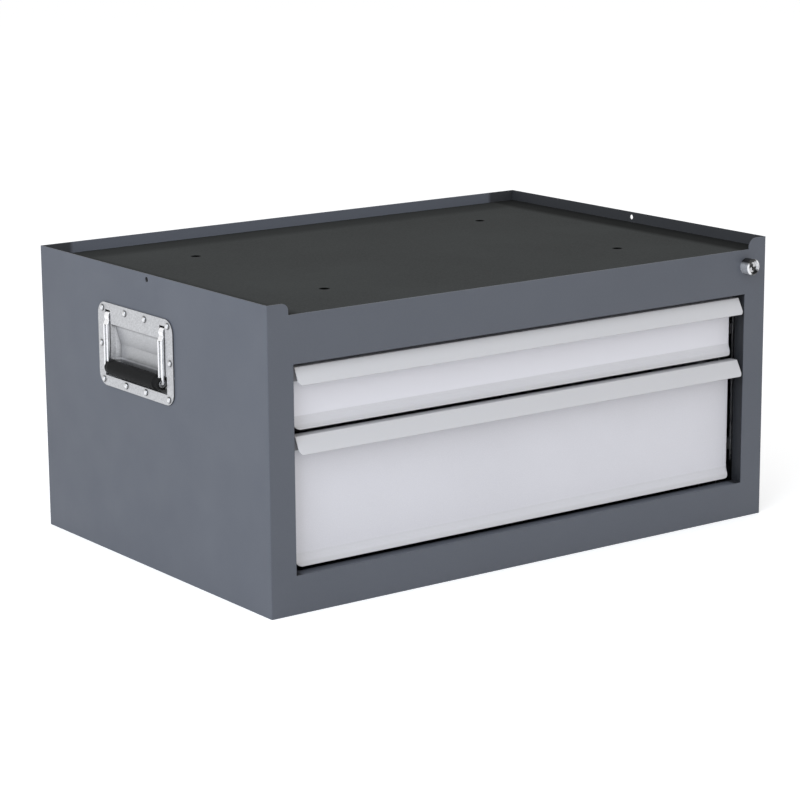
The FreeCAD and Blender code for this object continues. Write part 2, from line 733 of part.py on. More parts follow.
def corner_tool(x, z, radius, side):
    """What a rounded bottom corner takes off the end of a sheet: a block less a cylinder."""
    low_x = x if side == LEFT else f"{x} - {radius}"
    centre_x = f"{x} - {side}*{radius}"
    deep = "(PanelRecess + LipProud + 2*DrawerGauge)"
    scrap = block(low_x, "-LipProud", f"{z} - DrawerGauge", radius, deep, f"{radius} + DrawerGauge")
    curve = rod(radius, deep, centre_x, "-LipProud", f"{z} + {radius}", "y")
    return cut(scrap, [curve])


def front_line(height, lip_foot):
    """Fold line from the foot, whose curve leans forward as the square of its drop, to the lip."""
    count = int(number("FlareSteps"))
    foot = [
        (
            f"PanelRecess - FlareProud*({count - step}/{count})^2",
            f"FlareHeight*{step}/{count}",
        )
        for step in range(count)
    ]
    return foot + [
        ("PanelRecess", "FlareHeight"),
        ("PanelRecess", height),
        ("LipSetback + DrawerGauge", height),
        ("-LipProud + DrawerGauge", lip_foot),
    ]


def drawer_front(name, bottom, front_height):
    """One sheet: flared foot, recessed panel, forward shelf, and a hooked lip to pull from below."""
    height = f"({front_height} - DrawerGauge)"
    lip_foot = f"({height} + DrawerGauge - LipHeight)"
    lip_width = "(OpeningWidth - 2*LipGap)"
    blank = folded_sheet(front_line(height, lip_foot), "DrawerGauge", lip_width, "x")
    margin = "(PanelGap - LipGap)"
    notches = [
        block(x, "LipSetback + 2*DrawerGauge", "-DrawerGauge", margin, "PanelRecess", height)
        for x in ("0", f"{lip_width} - {margin}")
    ]
    corners = []
    for side, lip_end, panel_end in (
        (LEFT, "0", margin),
        (RIGHT, lip_width, f"({lip_width} - {margin})"),
    ):
        corners.append(corner_tool(panel_end, "0", "FlareCornerRadius", side))
        corners.append(corner_tool(lip_end, lip_foot, "LipCornerRadius", side))
    shaped = cut(blank, notches + corners)
    returns = [
        block(
            x,
            "PanelRecess + DrawerGauge",
            "FlareHeight",
            "DrawerGauge",
            "SideReturn - DrawerGauge",
            f"{height} - FlareHeight",
        )
        for x in (margin, f"{lip_width} - {margin} - DrawerGauge")
    ]
    hem = block(
        "LipHemInset",
        "DrawerGauge - LipProud",
        lip_foot,
        f"{lip_width} - 2*LipHemInset",
        "LipHem",
        "DrawerGauge",
    )
    front = fuse([shaped, hem] + returns)
    place(front, x=f"-{lip_width}/2", y="-ChestDepth/2", z=bottom)
    return keep(front, f"{name}_drawer_front")


def drawer_tray(name, bottom, height):
    body = pan(f"{name}_drawer_tray", TRAY_WIDTH, TRAY_LENGTH, height, "DrawerGauge", "TrayBend")
    place(body, y=TRAY_FRONT, z=f"{bottom} + TrayLift")


def drawer_liner(name, bottom):
    body = new_body(f"{name}_drawer_liner")
    profile = body_sketch(body, "XY_Plane")
    half = f"({TRAY_WIDTH}/2 - DrawerGauge - LinerGap)"
    inset = "(DrawerGauge + LinerGap)"
    draw_rectangle(profile, f"-{half}", half, inset, f"{TRAY_LENGTH} - {inset}")
    pad(body, profile, "LinerThickness")
    place(body, y=TRAY_FRONT, z=f"{bottom} + TrayLift + DrawerGauge")


def lock_catch(name, foot):
    """Angle on the tray's right side whose tab stands behind the lock bar's hook."""
    body = new_body(f"{name}_lock_catch")
    profile = body_sketch(body, "XY_Plane")
    draw(profile, (
        ("0", "0"),
        ("CatchReach", "0"),
        ("CatchReach", "CatchGauge"),
        ("CatchGauge", "CatchGauge"),
        ("CatchGauge", "CatchBase"),
        ("0", "CatchBase"),
    ))
    pad(body, profile, "CatchHeight")
    place(body, x=f"{TRAY_WIDTH}/2", y=f"{BAR_FRONT} + CatchBehindBar", z=foot)


def drawer(name, bottom, front_height, slide_drop, catch_drop):
    """One drawer with its slides; returns the height of its catch."""
    tray_height = f"({front_height} - TrayLift - TrayTopDrop)"
    tray_top = f"({bottom} + TrayLift + {tray_height})"
    slide_height = f"({tray_top} - {slide_drop})"
    catch_foot = f"({tray_top} - {catch_drop} - CatchHeight)"
    drawer_front(name, bottom, front_height)
    drawer_tray(name, bottom, tray_height)
    drawer_liner(name, bottom)
    lock_catch(name, catch_foot)
    for side, word in ((LEFT, "left"), (RIGHT, "right")):
        outer_member(side, f"{name}_slide_outer_{word}", slide_height)
        middle_member(side, f"{name}_slide_middle_{word}", slide_height)
        inner_member(side, f"{name}_slide_inner_{word}", slide_height)
    outer_row = "(OuterRaceHeight - BallClearance - BallRadius)"
    inner_row = f"({INNER_RACE} + BallClearance + BallRadius)"
    outer_web = "(SlideGauge + MiddleWebInset)/2 - CageGauge/2"
    inner_web = "MiddleWebInset + SlideGauge + CageGap"
    ball_cages(f"{name}_outer_ball_cages", outer_web, outer_row, slide_height)
    ball_cages(f"{name}_inner_ball_cages", inner_web, inner_row, slide_height)
    return catch_foot


# --- recessed handles -----------------------------------------------------------------------


def inward(side, depth):
    """X of a depth behind the side panel's outer face, from that face."""
    return f"-({side})*({depth})"


def dish_outline(grow, taper, drop):
    """Corners of the dish: a wide grip trough below a hand recess whose upper edge drops by a share."""
    ends = f"({grow} - DishEndTaper*{taper})"
    walls = f"({grow} - TroughTaper*{taper})"
    crown = f"(DishTop + {grow} - (DishTop - DishCrease)*{drop})"
    half = f"({DISH_HALF_LENGTH} + {ends})"
    wide = f"(TroughHalfLength + {walls})"
    floor = f"(TroughBottom - {walls})"
    shelf = f"(TroughTop + {walls})"
    return (
        (f"-{wide}", floor),
        (wide, floor),
        (wide, shelf),
        (half, shelf),
        (half, crown),
        (f"-{half}", crown),
        (f"-{half}", shelf),
        (f"-{wide}", shelf),
    )


def handle_dish(side, label):
    """Pressed plate: rounded corners, lofted dish with a sloped upper face, arm slots and pin ears."""
    body = new_body(label)
    backwards = side == RIGHT
    plate = body_sketch(body, "YZ_Plane", offset=inward(side, "-PlateGauge"))
    half = "PlateLength/2"
    draw_rectangle(plate, f"-{half}", half, "-PlateHeight/2", "PlateHeight/2")
    pad(body, plate, "PlateGauge", backwards)

    def is_plate_corner(edge):
        return parallel(edge, "x")

    round_edges(body, "PlateRadius", is_plate_corner)
    for kind, grow, start, end in (
        ("PartDesign::AdditiveLoft", "DishGauge", "-PlateGauge/2", "DishDepth + DishGauge"),
        ("PartDesign::SubtractiveLoft", "0", "-PlateGauge", "DishDepth"),
    ):
        mouth = body_sketch(body, "YZ_Plane", offset=inward(side, start))
        draw(mouth, dish_outline(grow, "0", "0"))
        step = body_sketch(body, "YZ_Plane", offset=inward(side, f"DishStep + {grow}"))
        draw(step, dish_outline(grow, "(DishStep/DishDepth)", "0"))
        floor = body_sketch(body, "YZ_Plane", offset=inward(side, end))
        draw(floor, dish_outline(grow, "1", "1"))
        loft = body.newObject(kind, "Dish")
        loft.Profile = mouth
        loft.Sections = [step, floor]
        loft.Ruled = True
        document.recompute()
    for end in (LEFT, RIGHT):
        arm = f"{end}*ArmOffset"
        slot = body_sketch(body, "YZ_Plane", offset=inward(side, "-PlateGauge"))
        room = "(ArmWidth/2 + SlotGap)"
        draw_rectangle(slot, f"{arm} - {room}", f"{arm} + {room}", SLOT_BOTTOM, SLOT_TOP)
        pocket(body, slot, "PlateGauge", backwards=not backwards)
        for flank in (LEFT, RIGHT):
            inner_face = f"{arm} + {flank}*(ArmWidth/2 + SlotGap)"
            outer_face = f"{inner_face} + {flank}*EarGauge"
            ear = body_sketch(body, "YZ_Plane")
            low, high = (inner_face, outer_face) if flank == RIGHT else (outer_face, inner_face)
            draw_rectangle(ear, low, high, "PivotHeight - EyeRadius", "PivotHeight + EyeRadius")
            pad(body, ear, "PivotDepth + EyeRadius", backwards)
    pin_hole = body_sketch(body, "XZ_Plane", offset=f"-{half}")
    draw_circle(pin_hole, inward(side, "PivotDepth"), "PivotHeight", "PinRadius")
    pocket(body, pin_hole, "PlateLength", backwards=True)
    rivet_holes = body_sketch(body, "YZ_Plane", offset=inward(side, "-PlateGauge"))
    for y, z in rivet_places():
        draw_circle(rivet_holes, y, z, "RivetShankRadius")
    pocket(body, rivet_holes, "PlateGauge", backwards=not backwards)
    place_on_handle(body, side)


def place_on_handle(item, side):
    place(item, x=f"{side}*ChestWidth/2", y="HandleOffset", z=HANDLE_HEIGHT)


def rivet_places():
    """The ten rivets round the plate, from its centre."""
    places = [(f"{end}*RivetSideOffset", "0") for end in (LEFT, RIGHT)]
    for row in ("RivetRowTop", "RivetRowBottom"):
        for offset in ("RivetCornerOffset", "RivetInnerOffset"):
            places += [(f"{end}*{offset}", row) for end in (LEFT, RIGHT)]
    return places


def handle_rivets(side, label):
    """Domed rivets through the plate and the side panel."""
    rivets = []
    for y, z in rivet_places():
        rivet = document.addObject("PartDesign::Body", "Rivet")
        profile = body_sketch(rivet, "XZ_Plane")
        head = inward(side, "-PlateGauge")
        crown = inward(side, "-PlateGauge - RivetHeadHeight")
        tail = inward(side, "PanelGauge")
        end = inward(side, "PanelGauge + RivetTailHeight")
        draw(profile, (
            (crown, "0"),
            (crown, "RivetHeadRadius/2"),
            (head, "RivetHeadRadius"),
            (head, "RivetShankRadius"),
            (tail, "RivetShankRadius"),
            (end, "RivetTailRadius"),
            (end, "0"),
        ))
        revolve(rivet, profile, "H_Axis")
        place(rivet, y=y, z=z)
        rivets.append(rivet)
    rows = keep(group(rivets), label)
    place_on_handle(rows, side)


def handle_pin(side, label):
    """Pivot pin held by the plate's ears, peened at both ends."""
    reach = "(ArmOffset + ArmWidth/2 + SlotGap + EarGauge + PinOverhang)"
    pin = keep(rod("PinRadius", f"2*{reach}", "0", "0", "0", "y"), label)
    place(
        pin,
        x=f"{side}*(ChestWidth/2 - PivotDepth)",
        y=f"HandleOffset - {reach}",
        z=f"{HANDLE_HEIGHT} + PivotHeight",
    )


def handle_spring(side, label):
    """Torsion spring on the pin, whose close turns make a plain sleeve."""
    start = (f"{side}*(ChestWidth/2 - PivotDepth)", "HandleOffset - CoilLength/2")
    height = f"{HANDLE_HEIGHT} + PivotHeight"
    coil = rod(SPRING_RADIUS, "CoilLength", *start, height, "y")
    bore = rod("PinRadius + CoilClearance", "CoilLength", *start, height, "y")
    keep(cut(coil, [bore]), label)


def handle_bail(side, label):
    """Two flat arms whose necks pass the plate to the pin, joined by the bar inside the grip."""
    body = new_body(label)
    strap_out = inward(side, f"-{STRAP_OUT} - ArmThickness")
    strap_in = inward(side, f"-{STRAP_OUT}")
    pivot = inward(side, "PivotDepth")
    turn = "PivotHeight"
    for end in (LEFT, RIGHT):
        inner_edge = f"{end}*ArmOffset - ArmWidth/2"
        strap = body_sketch(body, "XZ_Plane", offset=f"-({inner_edge})")
        draw(strap, (
            (strap_out, "GripDrop"),
            (strap_out, ARM_SHOULDER),
            (inward(side, "0"), f"{turn} + NeckHalfHeight"),
            (pivot, f"{turn} + NeckHalfHeight"),
            (pivot, f"{turn} - NeckHalfHeight"),
            (strap_in, f"{ARM_SHOULDER} - ArmThickness/2"),
            (strap_in, "GripDrop"),
        ))
        pad(body, strap, "ArmWidth", backwards=True)
        eye = body_sketch(body, "XZ_Plane", offset=f"-({inner_edge})")
        draw_circle(eye, pivot, turn, "EyeRadius")
        pad(body, eye, "ArmWidth", backwards=True)
        groove = body_sketch(body, "YZ_Plane", offset=strap_out)
        left = f"{end}*ArmOffset - ArmGrooveWidth/2"
        draw_rectangle(groove, left, f"{left} + ArmGrooveWidth", "GripDrop", ARM_SHOULDER)
        pocket(body, groove, "ArmGrooveDepth", backwards=side == LEFT)
        if end == LEFT:
            bar = body_sketch(body, "XZ_Plane", offset="ArmOffset")
            draw_circle(bar, inward(side, "-GripAxisOut"), "GripDrop", "CrossbarRadius")
            pad(body, bar, "2*ArmOffset", backwards=True)
    bore = body_sketch(body, "XZ_Plane", offset="-PlateLength/2")
    draw_circle(bore, pivot, turn, "PinRadius + RunningFit")
    pocket(body, bore, "PlateLength", backwards=True)
    place_on_handle(body, side)
    return body


def handle_grip(side, label, bail):
    """Rubber sleeve with rounded, stepped ends, moulded round the bail's bar and arm feet."""
    sleeve = document.addObject("PartDesign::Body", "Sleeve")
    profile = body_sketch(sleeve, "XY_Plane")
    half = "(GripLength/2)"
    draw(profile, (
        ("0", f"-{half}"),
        ("GripRadius - GripEndRadius", f"-{half}"),
        ("GripRadius", f"GripEndRadius - {half}"),
        ("GripRadius", f"{half} - GripEndRadius"),
        ("GripRadius - GripEndRadius", half),
        ("0", half),
    ))
    revolve(sleeve, profile)
    place(
        sleeve,
        x=f"{side}*(ChestWidth/2 + GripAxisOut)",
        y="HandleOffset",
        z=f"{HANDLE_HEIGHT} + GripDrop",
    )
    keep(cut(sleeve, [bail]), label)


def handle(side, word):
    handle_dish(side, f"{word}_handle_dish")
    handle_rivets(side, f"{word}_handle_rivets")
    handle_pin(side, f"{word}_handle_pin")
    handle_spring(side, f"{word}_handle_spring")
    bail = handle_bail(side, f"{word}_handle_bail")
    handle_grip(side, f"{word}_handle_grip", bail)


# --- lock -----------------------------------------------------------------------------------


def turned_piece(label, points, z_turn=-90):
    """A piece turned about the lock's axis; points are (radius, depth behind the frame's face)."""
    body = new_body(label)
    profile = body_sketch(body, "XZ_Plane")
    draw(profile, points)
    revolve(body, profile)
    body.Placement = FreeCAD.Placement(
        FreeCAD.Vector(), FreeCAD.Rotation(FreeCAD.Vector(1, 0, 0), z_turn)
    )
    place(body, x="LockX", y="-ChestDepth/2", z=LOCK_HEIGHT)
    return body


def lock_barrel():
    """Chromed head with a raised ring, and the threaded body that passes the frame."""
    head = "LockHeadLength"
    bore = "(PlugRadius + RunningFit)"
    turned_piece("lock_barrel", (
        (bore, f"LockRimDepth - {head}"),
        ("LockHeadRadius - LockRimWidth", f"LockRimDepth - {head}"),
        ("LockHeadRadius - LockRimWidth", f"-{head}"),
        ("LockHeadRadius - LockRimWidth/2", f"-{head}"),
        ("LockHeadRadius", f"LockRimWidth/2 - {head}"),
        ("LockHeadRadius", "0"),
        ("LockBodyRadius", "0"),
        ("LockBodyRadius", "LockBodyLength"),
        (bore, "LockBodyLength"),
    ))


def lock_plug():
    """Turning plug with its keyway in front and a square tang behind."""
    face = "(LockRimDepth - LockHeadLength)"
    body = turned_piece("lock_plug", (
        ("0", face),
        ("PlugRadius", face),
        ("PlugRadius", "LockBodyLength"),
        ("0", "LockBodyLength"),
    ))
    tang = body_sketch(body, "XY_Plane", offset="LockBodyLength")
    side = "TangSide/2"
    draw_rectangle(tang, f"-{side}", side, f"-{side}", side)
    pad(body, tang, "CamThickness")
    keyway = body_sketch(body, "XY_Plane", offset=face)
    width = "KeywayWidth/2"
    draw_rectangle(keyway, f"-{width}", width, "-KeywayHeight/2", "KeywayHeight/2")
    pocket(body, keyway, "KeywayDepth", backwards=True)


def lock_nut():
    """Hexagon nut behind the frame."""
    body = new_body("lock_nut")
    profile = body_sketch(body, "XZ_Plane", offset="-FrameGauge")
    spots = [(f"{NUT_CORNER}*cos({60*n})", f"{NUT_CORNER}*sin({60*n})") for n in range(6)]
    draw(profile, spots)
    pad(body, profile, "NutThickness", backwards=True)
    bore = body_sketch(body, "XZ_Plane", offset="-FrameGauge")
    draw_circle(bore, "0", "0", "LockBodyRadius")
    pocket(body, bore, "NutThickness")
    place(body, x="LockX", y="-ChestDepth/2", z=LOCK_HEIGHT)


def lock_cam():
    """Disc on the plug's tang with the pin that drives the lock bar."""
    body = new_body("lock_cam")
    disc = body_sketch(body, "XZ_Plane")
    draw_circle(disc, "0", "0", "CamRadius")
    pad(body, disc, "CamThickness", backwards=True)
    pin = body_sketch(body, "XZ_Plane", offset="-CamThickness")
    x = "CamThrow*cos(CamRestAngle)"
    draw_circle(pin, x, "CamThrow*sin(CamRestAngle)", "CamPinRadius")
    pad(body, pin, "CamPinReach", backwards=True)
    square = body_sketch(body, "XZ_Plane")
    side = "TangSide/2"
    draw_rectangle(square, f"-{side}", side, f"-{side}", side)
    pocket(body, square, "CamThickness")
    place(body, x="LockX", y=CAM_FRONT, z=LOCK_HEIGHT)


def cam_screw():
    """Screw head that holds the cam on the tang."""
    screw = keep(rod("CamScrewRadius", "CamScrewHeight", "0", "0", "0", "y"), "cam_screw")
    place(screw, x="LockX", y=f"{CAM_FRONT} + CamThickness", z=LOCK_HEIGHT)


def lock_bar(hook_feet):
    """Strip that slides up and down behind the right stile, slotted for the cam's pin."""
    body = new_body("lock_bar")
    profile = body_sketch(body, "XZ_Plane")
    inner = "BarInner"
    top = "(ChestHeight - BarTopDrop)"
    outer = f"{inner} + BarWidth"
    outline = [(outer, "BarBottom"), (outer, top), (inner, top)]
    for foot in hook_feet:
        outline += [
            (inner, f"{foot} + HookHeight"),
            (f"{inner} - HookReach", f"{foot} + HookHeight"),
            (f"{inner} - HookReach", foot),
            (inner, foot),
        ]
    outline.append((inner, "BarBottom"))
    draw(profile, outline)
    pad(body, profile, "BarGauge", backwards=True)
    slot = body_sketch(body, "XZ_Plane")
    room = "(CamPinRadius + BarSlotGap)"
    near_pin = "LockX + CamThrow*cos(CamRestAngle)"
    far_pin = "LockX + CamThrow"
    pin_height = f"({LOCK_HEIGHT} + CamThrow*sin(CamRestAngle))"
    draw_rectangle(
        slot,
        f"{near_pin} - {room}",
        f"{far_pin} + {room}",
        f"{pin_height} - {room}",
        f"{pin_height} + {room}",
    )
    pocket(body, slot, "BarGauge")
    place(body, y=BAR_FRONT)


def bar_guides():
    """Two folded sleeves on the front upright that keep the lock bar upright."""
    guides = []
    for height in (f"{OPENING_TOP} - UpperGuideDrop", "LowerGuideHeight"):
        guide = document.addObject("PartDesign::Body", "Guide")
        profile = body_sketch(guide, "XY_Plane")
        low = "(BarInner - GuideGap)"
        high = "(BarInner + BarWidth + GuideGap)"
        front = "(BarFront - GuideGap)"
        rear = "(BarFront + BarGauge + GuideGap)"
        draw_rectangle(
            profile, f"{low} - GuideWall", f"{high} + GuideWall", f"{front} - GuideWall", "UprightInset"
        )
        draw_rectangle(profile, low, high, front, rear)
        draw_rectangle(profile, low, high, f"{rear} + GuideWall", "UprightInset - GuideWall")
        pad(guide, profile, "GuideHeight")
        place(guide, y="-ChestDepth/2", z=height)
        guides.append(guide)
    keep(group(guides), "lock_bar_guides")


# --- assembly -------------------------------------------------------------------------------


def build():
    for side, word in ((LEFT, "left"), (RIGHT, "right")):
        side_panel(side, f"side_panel_{word}")
        slide_upright(side, f"front_slide_upright_{word}", "UprightInset - ChestDepth/2")
        slide_upright(side, f"rear_slide_upright_{word}", REAR_UPRIGHT)
        handle(side, word)
    back_panel()
    bottom_panel()
    top_panel()
    front_frame()
    top_mat()
    upper_catch = drawer("upper", UPPER_BOTTOM, "UpperFrontHeight", "UpperSlideDrop", "CatchDrop")
    lower_catch = drawer("lower", LOWER_BOTTOM, LOWER_HEIGHT, "LowerSlideDrop", "LowerCatchDrop")
    lock_barrel()
    lock_plug()
    lock_nut()
    lock_cam()
    cam_screw()
    lock_bar([f"({foot} + CatchHeight + HookClearance)" for foot in (upper_catch, lower_catch)])
    bar_guides()
    document.recompute()


def check_and_write():
    """Refuse a failed object or shape, then write one STEP file for each sub-part."""
    for item in document.Objects:
        if {"Invalid", "Error"} & set(item.State):
            raise RuntimeError(f"{item.Name} ({item.Label}) failed to compute: {item.State}")
    for item in sub_parts:
        if item.Shape.isNull() or not item.Shape.isValid() or not item.Shape.Solids:
            raise RuntimeError(f"{item.Label} has no valid solid")
    os.makedirs("parts", exist_ok=True)
    for item in sub_parts:
        item.Shape.exportStep(os.path.join("parts", f"{item.Label}.step"))
        print(item.Label, len(item.Shape.Solids), round(item.Shape.Volume))


build()
check_and_write()
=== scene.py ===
import json
import math

import bmesh
import bpy
import numpy as np
from bpy.props import FloatProperty, FloatVectorProperty, IntProperty, PointerProperty
from bpy.types import Operator, Panel, PropertyGroup
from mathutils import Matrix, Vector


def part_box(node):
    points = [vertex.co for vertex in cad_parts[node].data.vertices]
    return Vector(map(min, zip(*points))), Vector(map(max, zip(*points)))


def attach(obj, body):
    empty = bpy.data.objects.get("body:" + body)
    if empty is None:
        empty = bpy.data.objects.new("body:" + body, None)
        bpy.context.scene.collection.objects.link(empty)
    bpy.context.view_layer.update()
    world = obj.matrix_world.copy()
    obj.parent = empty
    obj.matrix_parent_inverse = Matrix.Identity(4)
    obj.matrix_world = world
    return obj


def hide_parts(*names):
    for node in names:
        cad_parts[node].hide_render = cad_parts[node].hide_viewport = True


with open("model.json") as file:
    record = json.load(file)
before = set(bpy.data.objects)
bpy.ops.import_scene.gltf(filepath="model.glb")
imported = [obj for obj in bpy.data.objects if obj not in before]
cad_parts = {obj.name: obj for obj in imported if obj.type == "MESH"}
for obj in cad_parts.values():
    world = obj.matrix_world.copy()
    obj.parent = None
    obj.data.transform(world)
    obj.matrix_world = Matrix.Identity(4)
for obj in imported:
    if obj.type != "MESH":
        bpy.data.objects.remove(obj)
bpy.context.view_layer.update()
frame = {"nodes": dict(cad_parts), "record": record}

bl_info = {
    "name": "Two-drawer tool chest finish",
    "version": (1, 0, 0),
    "blender": (4, 5, 0),
    "location": "View3D > Sidebar > Tool chest",
    "description": "Finishes, slide balls, grips, springs and studio for the steel top chest",
    "category": "Object",
}

# Each side, with the way outwards along X.
SIDES = {"left": -1, "right": 1}
DRAWERS = ("upper", "lower")
MM = 0.001
WELD = 0.0001 * MM

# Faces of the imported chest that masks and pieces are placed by.
SIDE_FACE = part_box("side_panel_right")[1].x
BACK_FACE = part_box("back_panel")[1].y
OPENING_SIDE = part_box("front_slide_upright_right")[0].x
TRAY_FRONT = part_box("upper_drawer_tray")[0].y
PLATE_FACE = -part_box("left_handle_dish")[0].x
PLATE_MIDDLE = (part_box("left_handle_dish")[0].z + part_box("left_handle_dish")[1].z) / 2

# Sizes from the construction that no node's box gives.
OPENING_TOP = 254.5 * MM
DISH_TOP = PLATE_MIDDLE + 23 * MM
TRAY_WALL = 1 * MM
CAGE_GAUGE = 0.5 * MM
BOLT_ACROSS = 196.5 * MM
BOLT_MIDDLE = -5 * MM
BOLT_ALONG = 123.5 * MM
HALF_RIVETS = ((65.8, 38.4), (19.9, 38.4), (69, 0), (65.8, -38.9), (19.9, -38.9))
RIVET_PLACES = np.array([(0, end * y, z) for end in (-1, 1) for y, z in HALF_RIVETS]) * MM


def nodes_with(pattern):
    """Names of the CAD nodes whose name holds the pattern."""
    return [name for name in frame["nodes"] if pattern in name]


def box_middle(node):
    """The middle of a CAD node's box."""
    low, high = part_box(node)
    return np.array((low + high) / 2)


# --- sizes and colours a user would change ---------------------------------------------------


def colour(name, description, value):
    """A colour that a user may change."""
    return FloatVectorProperty(
        name=name, description=description, subtype="COLOR", size=3, min=0, max=1, default=value
    )


def length(name, description, value):
    """A length that a user may change."""
    return FloatProperty(name=name, description=description, unit="LENGTH", default=value, precision=5)


class ChestColours(PropertyGroup):
    """Base colours of the chest's finishes"""

    housing: colour("Housing", "Powder coat of the housing", (0.103, 0.112, 0.133))
    drawers: colour("Drawers", "Powder coat of the drawers", (0.715, 0.706, 0.742))
    mat: colour("Mat", "Rubber mat on the top", (0.040, 0.042, 0.041))
    liner: colour("Liner", "Rubber liner in the drawers", (0.022, 0.022, 0.024))
    zinc: colour("Zinc", "Plated inner steel", (0.48, 0.49, 0.50))
    bright: colour("Bright steel", "Handle plate and bail", (0.62, 0.62, 0.63))
    chrome: colour("Chrome", "Lock", (0.78, 0.78, 0.79))
    grip: colour("Grip", "Rubber of the handle grips", (0.012, 0.012, 0.012))


class ChestDetails(PropertyGroup):
    """Sizes of the pieces that Blender adds"""

    ball_radius: length("Ball radius", "Balls of the slides", 1.4 * MM)
    ball_pitch: length("Ball pitch", "Spacing of the balls along a cage", 30 * MM)
    ball_plane: length("Ball plane", "Ball centres from the opening's side", 7.4 * MM)
    balls: IntProperty(name="Balls", description="Balls in each row of a cage", default=5, min=1)
    grip_radius: length("Grip radius", "Middle of the rubber grip", 8 * MM)
    grip_middle: length("Grip middle", "Half length of the thick middle of the grip", 45.5 * MM)
    grip_half: length("Grip half length", "Half length of the whole grip", 54.5 * MM)
    grip_waist: length("Grip end radius", "Grip round the feet of the bail's arms", 6.8 * MM)
    grip_rib: length("Grip rib", "Depth of the fine ribs round the grip", 0.12 * MM)
    rivet_radius: length("Rivet radius", "Heads inside the drawer walls", 3.2 * MM)
    rivet_height: length("Rivet height", "Heads inside the drawer walls", 0.9 * MM)
    dome_radius: length("Handle rivet radius", "Domed heads on the handle plates", 3.5 * MM)
    dome_height: length("Handle rivet height", "Domed heads on the handle plates", 2.1 * MM)
    wire_radius: length("Wire radius", "Torsion springs", 0.42 * MM)
    thread_pitch: length("Thread pitch", "Lock body", 1 * MM)
    thread_depth: length("Thread depth", "Lock body", 0.35 * MM)


class ChestStudio(PropertyGroup):
    """Camera, floor and light of the studio"""

    camera_place: FloatVectorProperty(
        name="Camera", description="Place of the camera", subtype="XYZ", unit="LENGTH",
        default=(-1.7221, -2.3475, 0.8029),
    )
    camera_turn: FloatVectorProperty(
        name="Turn", description="Turn of the camera", subtype="EULER", unit="ROTATION",
        default=(math.radians(77.109), math.radians(0.382), math.radians(-36.222)),
    )
    lens: FloatProperty(name="Lens", description="Focal length in millimetres", default=120.65)
    floor: colour("Floor", "Pale studio floor", (0.86, 0.86, 0.86))
    sky: FloatProperty(name="Sky", description="Level of the even light from all round", default=0.62)
    key: FloatProperty(name="Key", description="Watts of the large lamp on the left", default=54)
    fill: FloatProperty(name="Fill", description="Watts of the large lamp in front", default=15.1)


# --- meshes ----------------------------------------------------------------------------------


def ring_faces(count, rings, segments, joined):
    """Quads (i, j), (i, j+1), (i+1, j+1), (i+1, j) between the rings i of each of count grids.

    Each ring j wraps round, and joined carries the last ring of a grid on to its first.
    """
    i, j = np.meshgrid(np.arange(rings if joined else rings - 1), np.arange(segments), indexing="ij")
    i, j = i.ravel(), j.ravel()
    k, m = (i + 1) % rings, (j + 1) % segments
    one = np.stack([i * segments + j, i * segments + m, k * segments + m, k * segments + j], 1)
    starts = np.arange(count) * rings * segments
    return (one[None] + starts[:, None, None]).reshape(-1, 4)


def mesh_piece(name, grids, body, material, joined=False):
    """Puts grids of points (count, rings, segments, 3) into one welded mesh that rides on a body.

    The ends are closed by rings of radius 0, or joined carries the last ring on to the first.
    """
    mesh = bpy.data.meshes.new(name)
    faces = ring_faces(*grids.shape[:3], joined)
    mesh.from_pydata(grids.reshape(-1, 3).tolist(), [], faces.tolist())
    shell = bmesh.new()
    shell.from_mesh(mesh)
    bmesh.ops.remove_doubles(shell, verts=shell.verts, dist=WELD)
    bmesh.ops.recalc_face_normals(shell, faces=shell.faces)
    shell.to_mesh(mesh)
    shell.free()
    mesh.polygons.foreach_set("use_smooth", np.full(len(mesh.polygons), True))
    mesh.materials.append(material)
    piece = bpy.data.objects.new(name, mesh)
    bpy.context.scene.collection.objects.link(piece)
    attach(piece, body)
    return piece


def circle(segments):
    """Angles of evenly spaced points round a circle."""
    return np.linspace(0, 2 * np.pi, segments, endpoint=False)


def quarter(steps):
    """Angles from 0 to a right angle."""
    return np.linspace(0, np.pi / 2, steps)


def turned(profile, segments):
    """Turns a profile of (distance along, radius) about the first axis.

    Point (a, t) = (along_a, radius_a cos t, radius_a sin t); a radius of 0 closes an end.
    """
    along, radius = np.asarray(profile, float).T[:, :, None]
    turn = circle(segments)
    return np.stack([along + 0 * turn, radius * np.cos(turn), radius * np.sin(turn)], -1)


def copies(shape, places):
    """One grid of points at each place: point (n, a, t) = place_n + point (a, t)."""
    return np.asarray(places)[:, None, None, :] + shape[None]


def swept(path, radius, segments, axis):
    """A round tube along a path wound about an axis: centre + radius (cos t n + sin t b).

    n = path direction x axis and b = path direction x n, both of length one. The first and last
    rings shrink to a point, which closes the ends.
    """
    run = np.gradient(path, axis=0)
    run /= np.linalg.norm(run, axis=1, keepdims=True)
    path, run = (np.concatenate([rows[:1], rows, rows[-1:]]) for rows in (path, run))
    reach = np.full(len(path), radius)
    reach[[0, -1]] = 0
    side = np.cross(run, axis)
    side /= np.linalg.norm(side, axis=1, keepdims=True)
    third = np.cross(run, side)
    turn = circle(segments)[None, :, None]
    ring = np.cos(turn) * side[:, None] + np.sin(turn) * third[:, None]
    return path[:, None] + reach[:, None, None] * ring


def dome(radius, height, steps):
    """A quarter ellipse of (height sin t, radius cos t), from the rim to the top."""
    angle = quarter(steps)
    return np.stack([height * np.sin(angle), radius * np.cos(angle)], 1)


# --- shader nodes ----------------------------------------------------------------------------

# Sockets of a Mix node that blends colours.
MIX_SHARE, MIX_FIRST, MIX_SECOND, MIX_RESULT = 0, 6, 7, 2


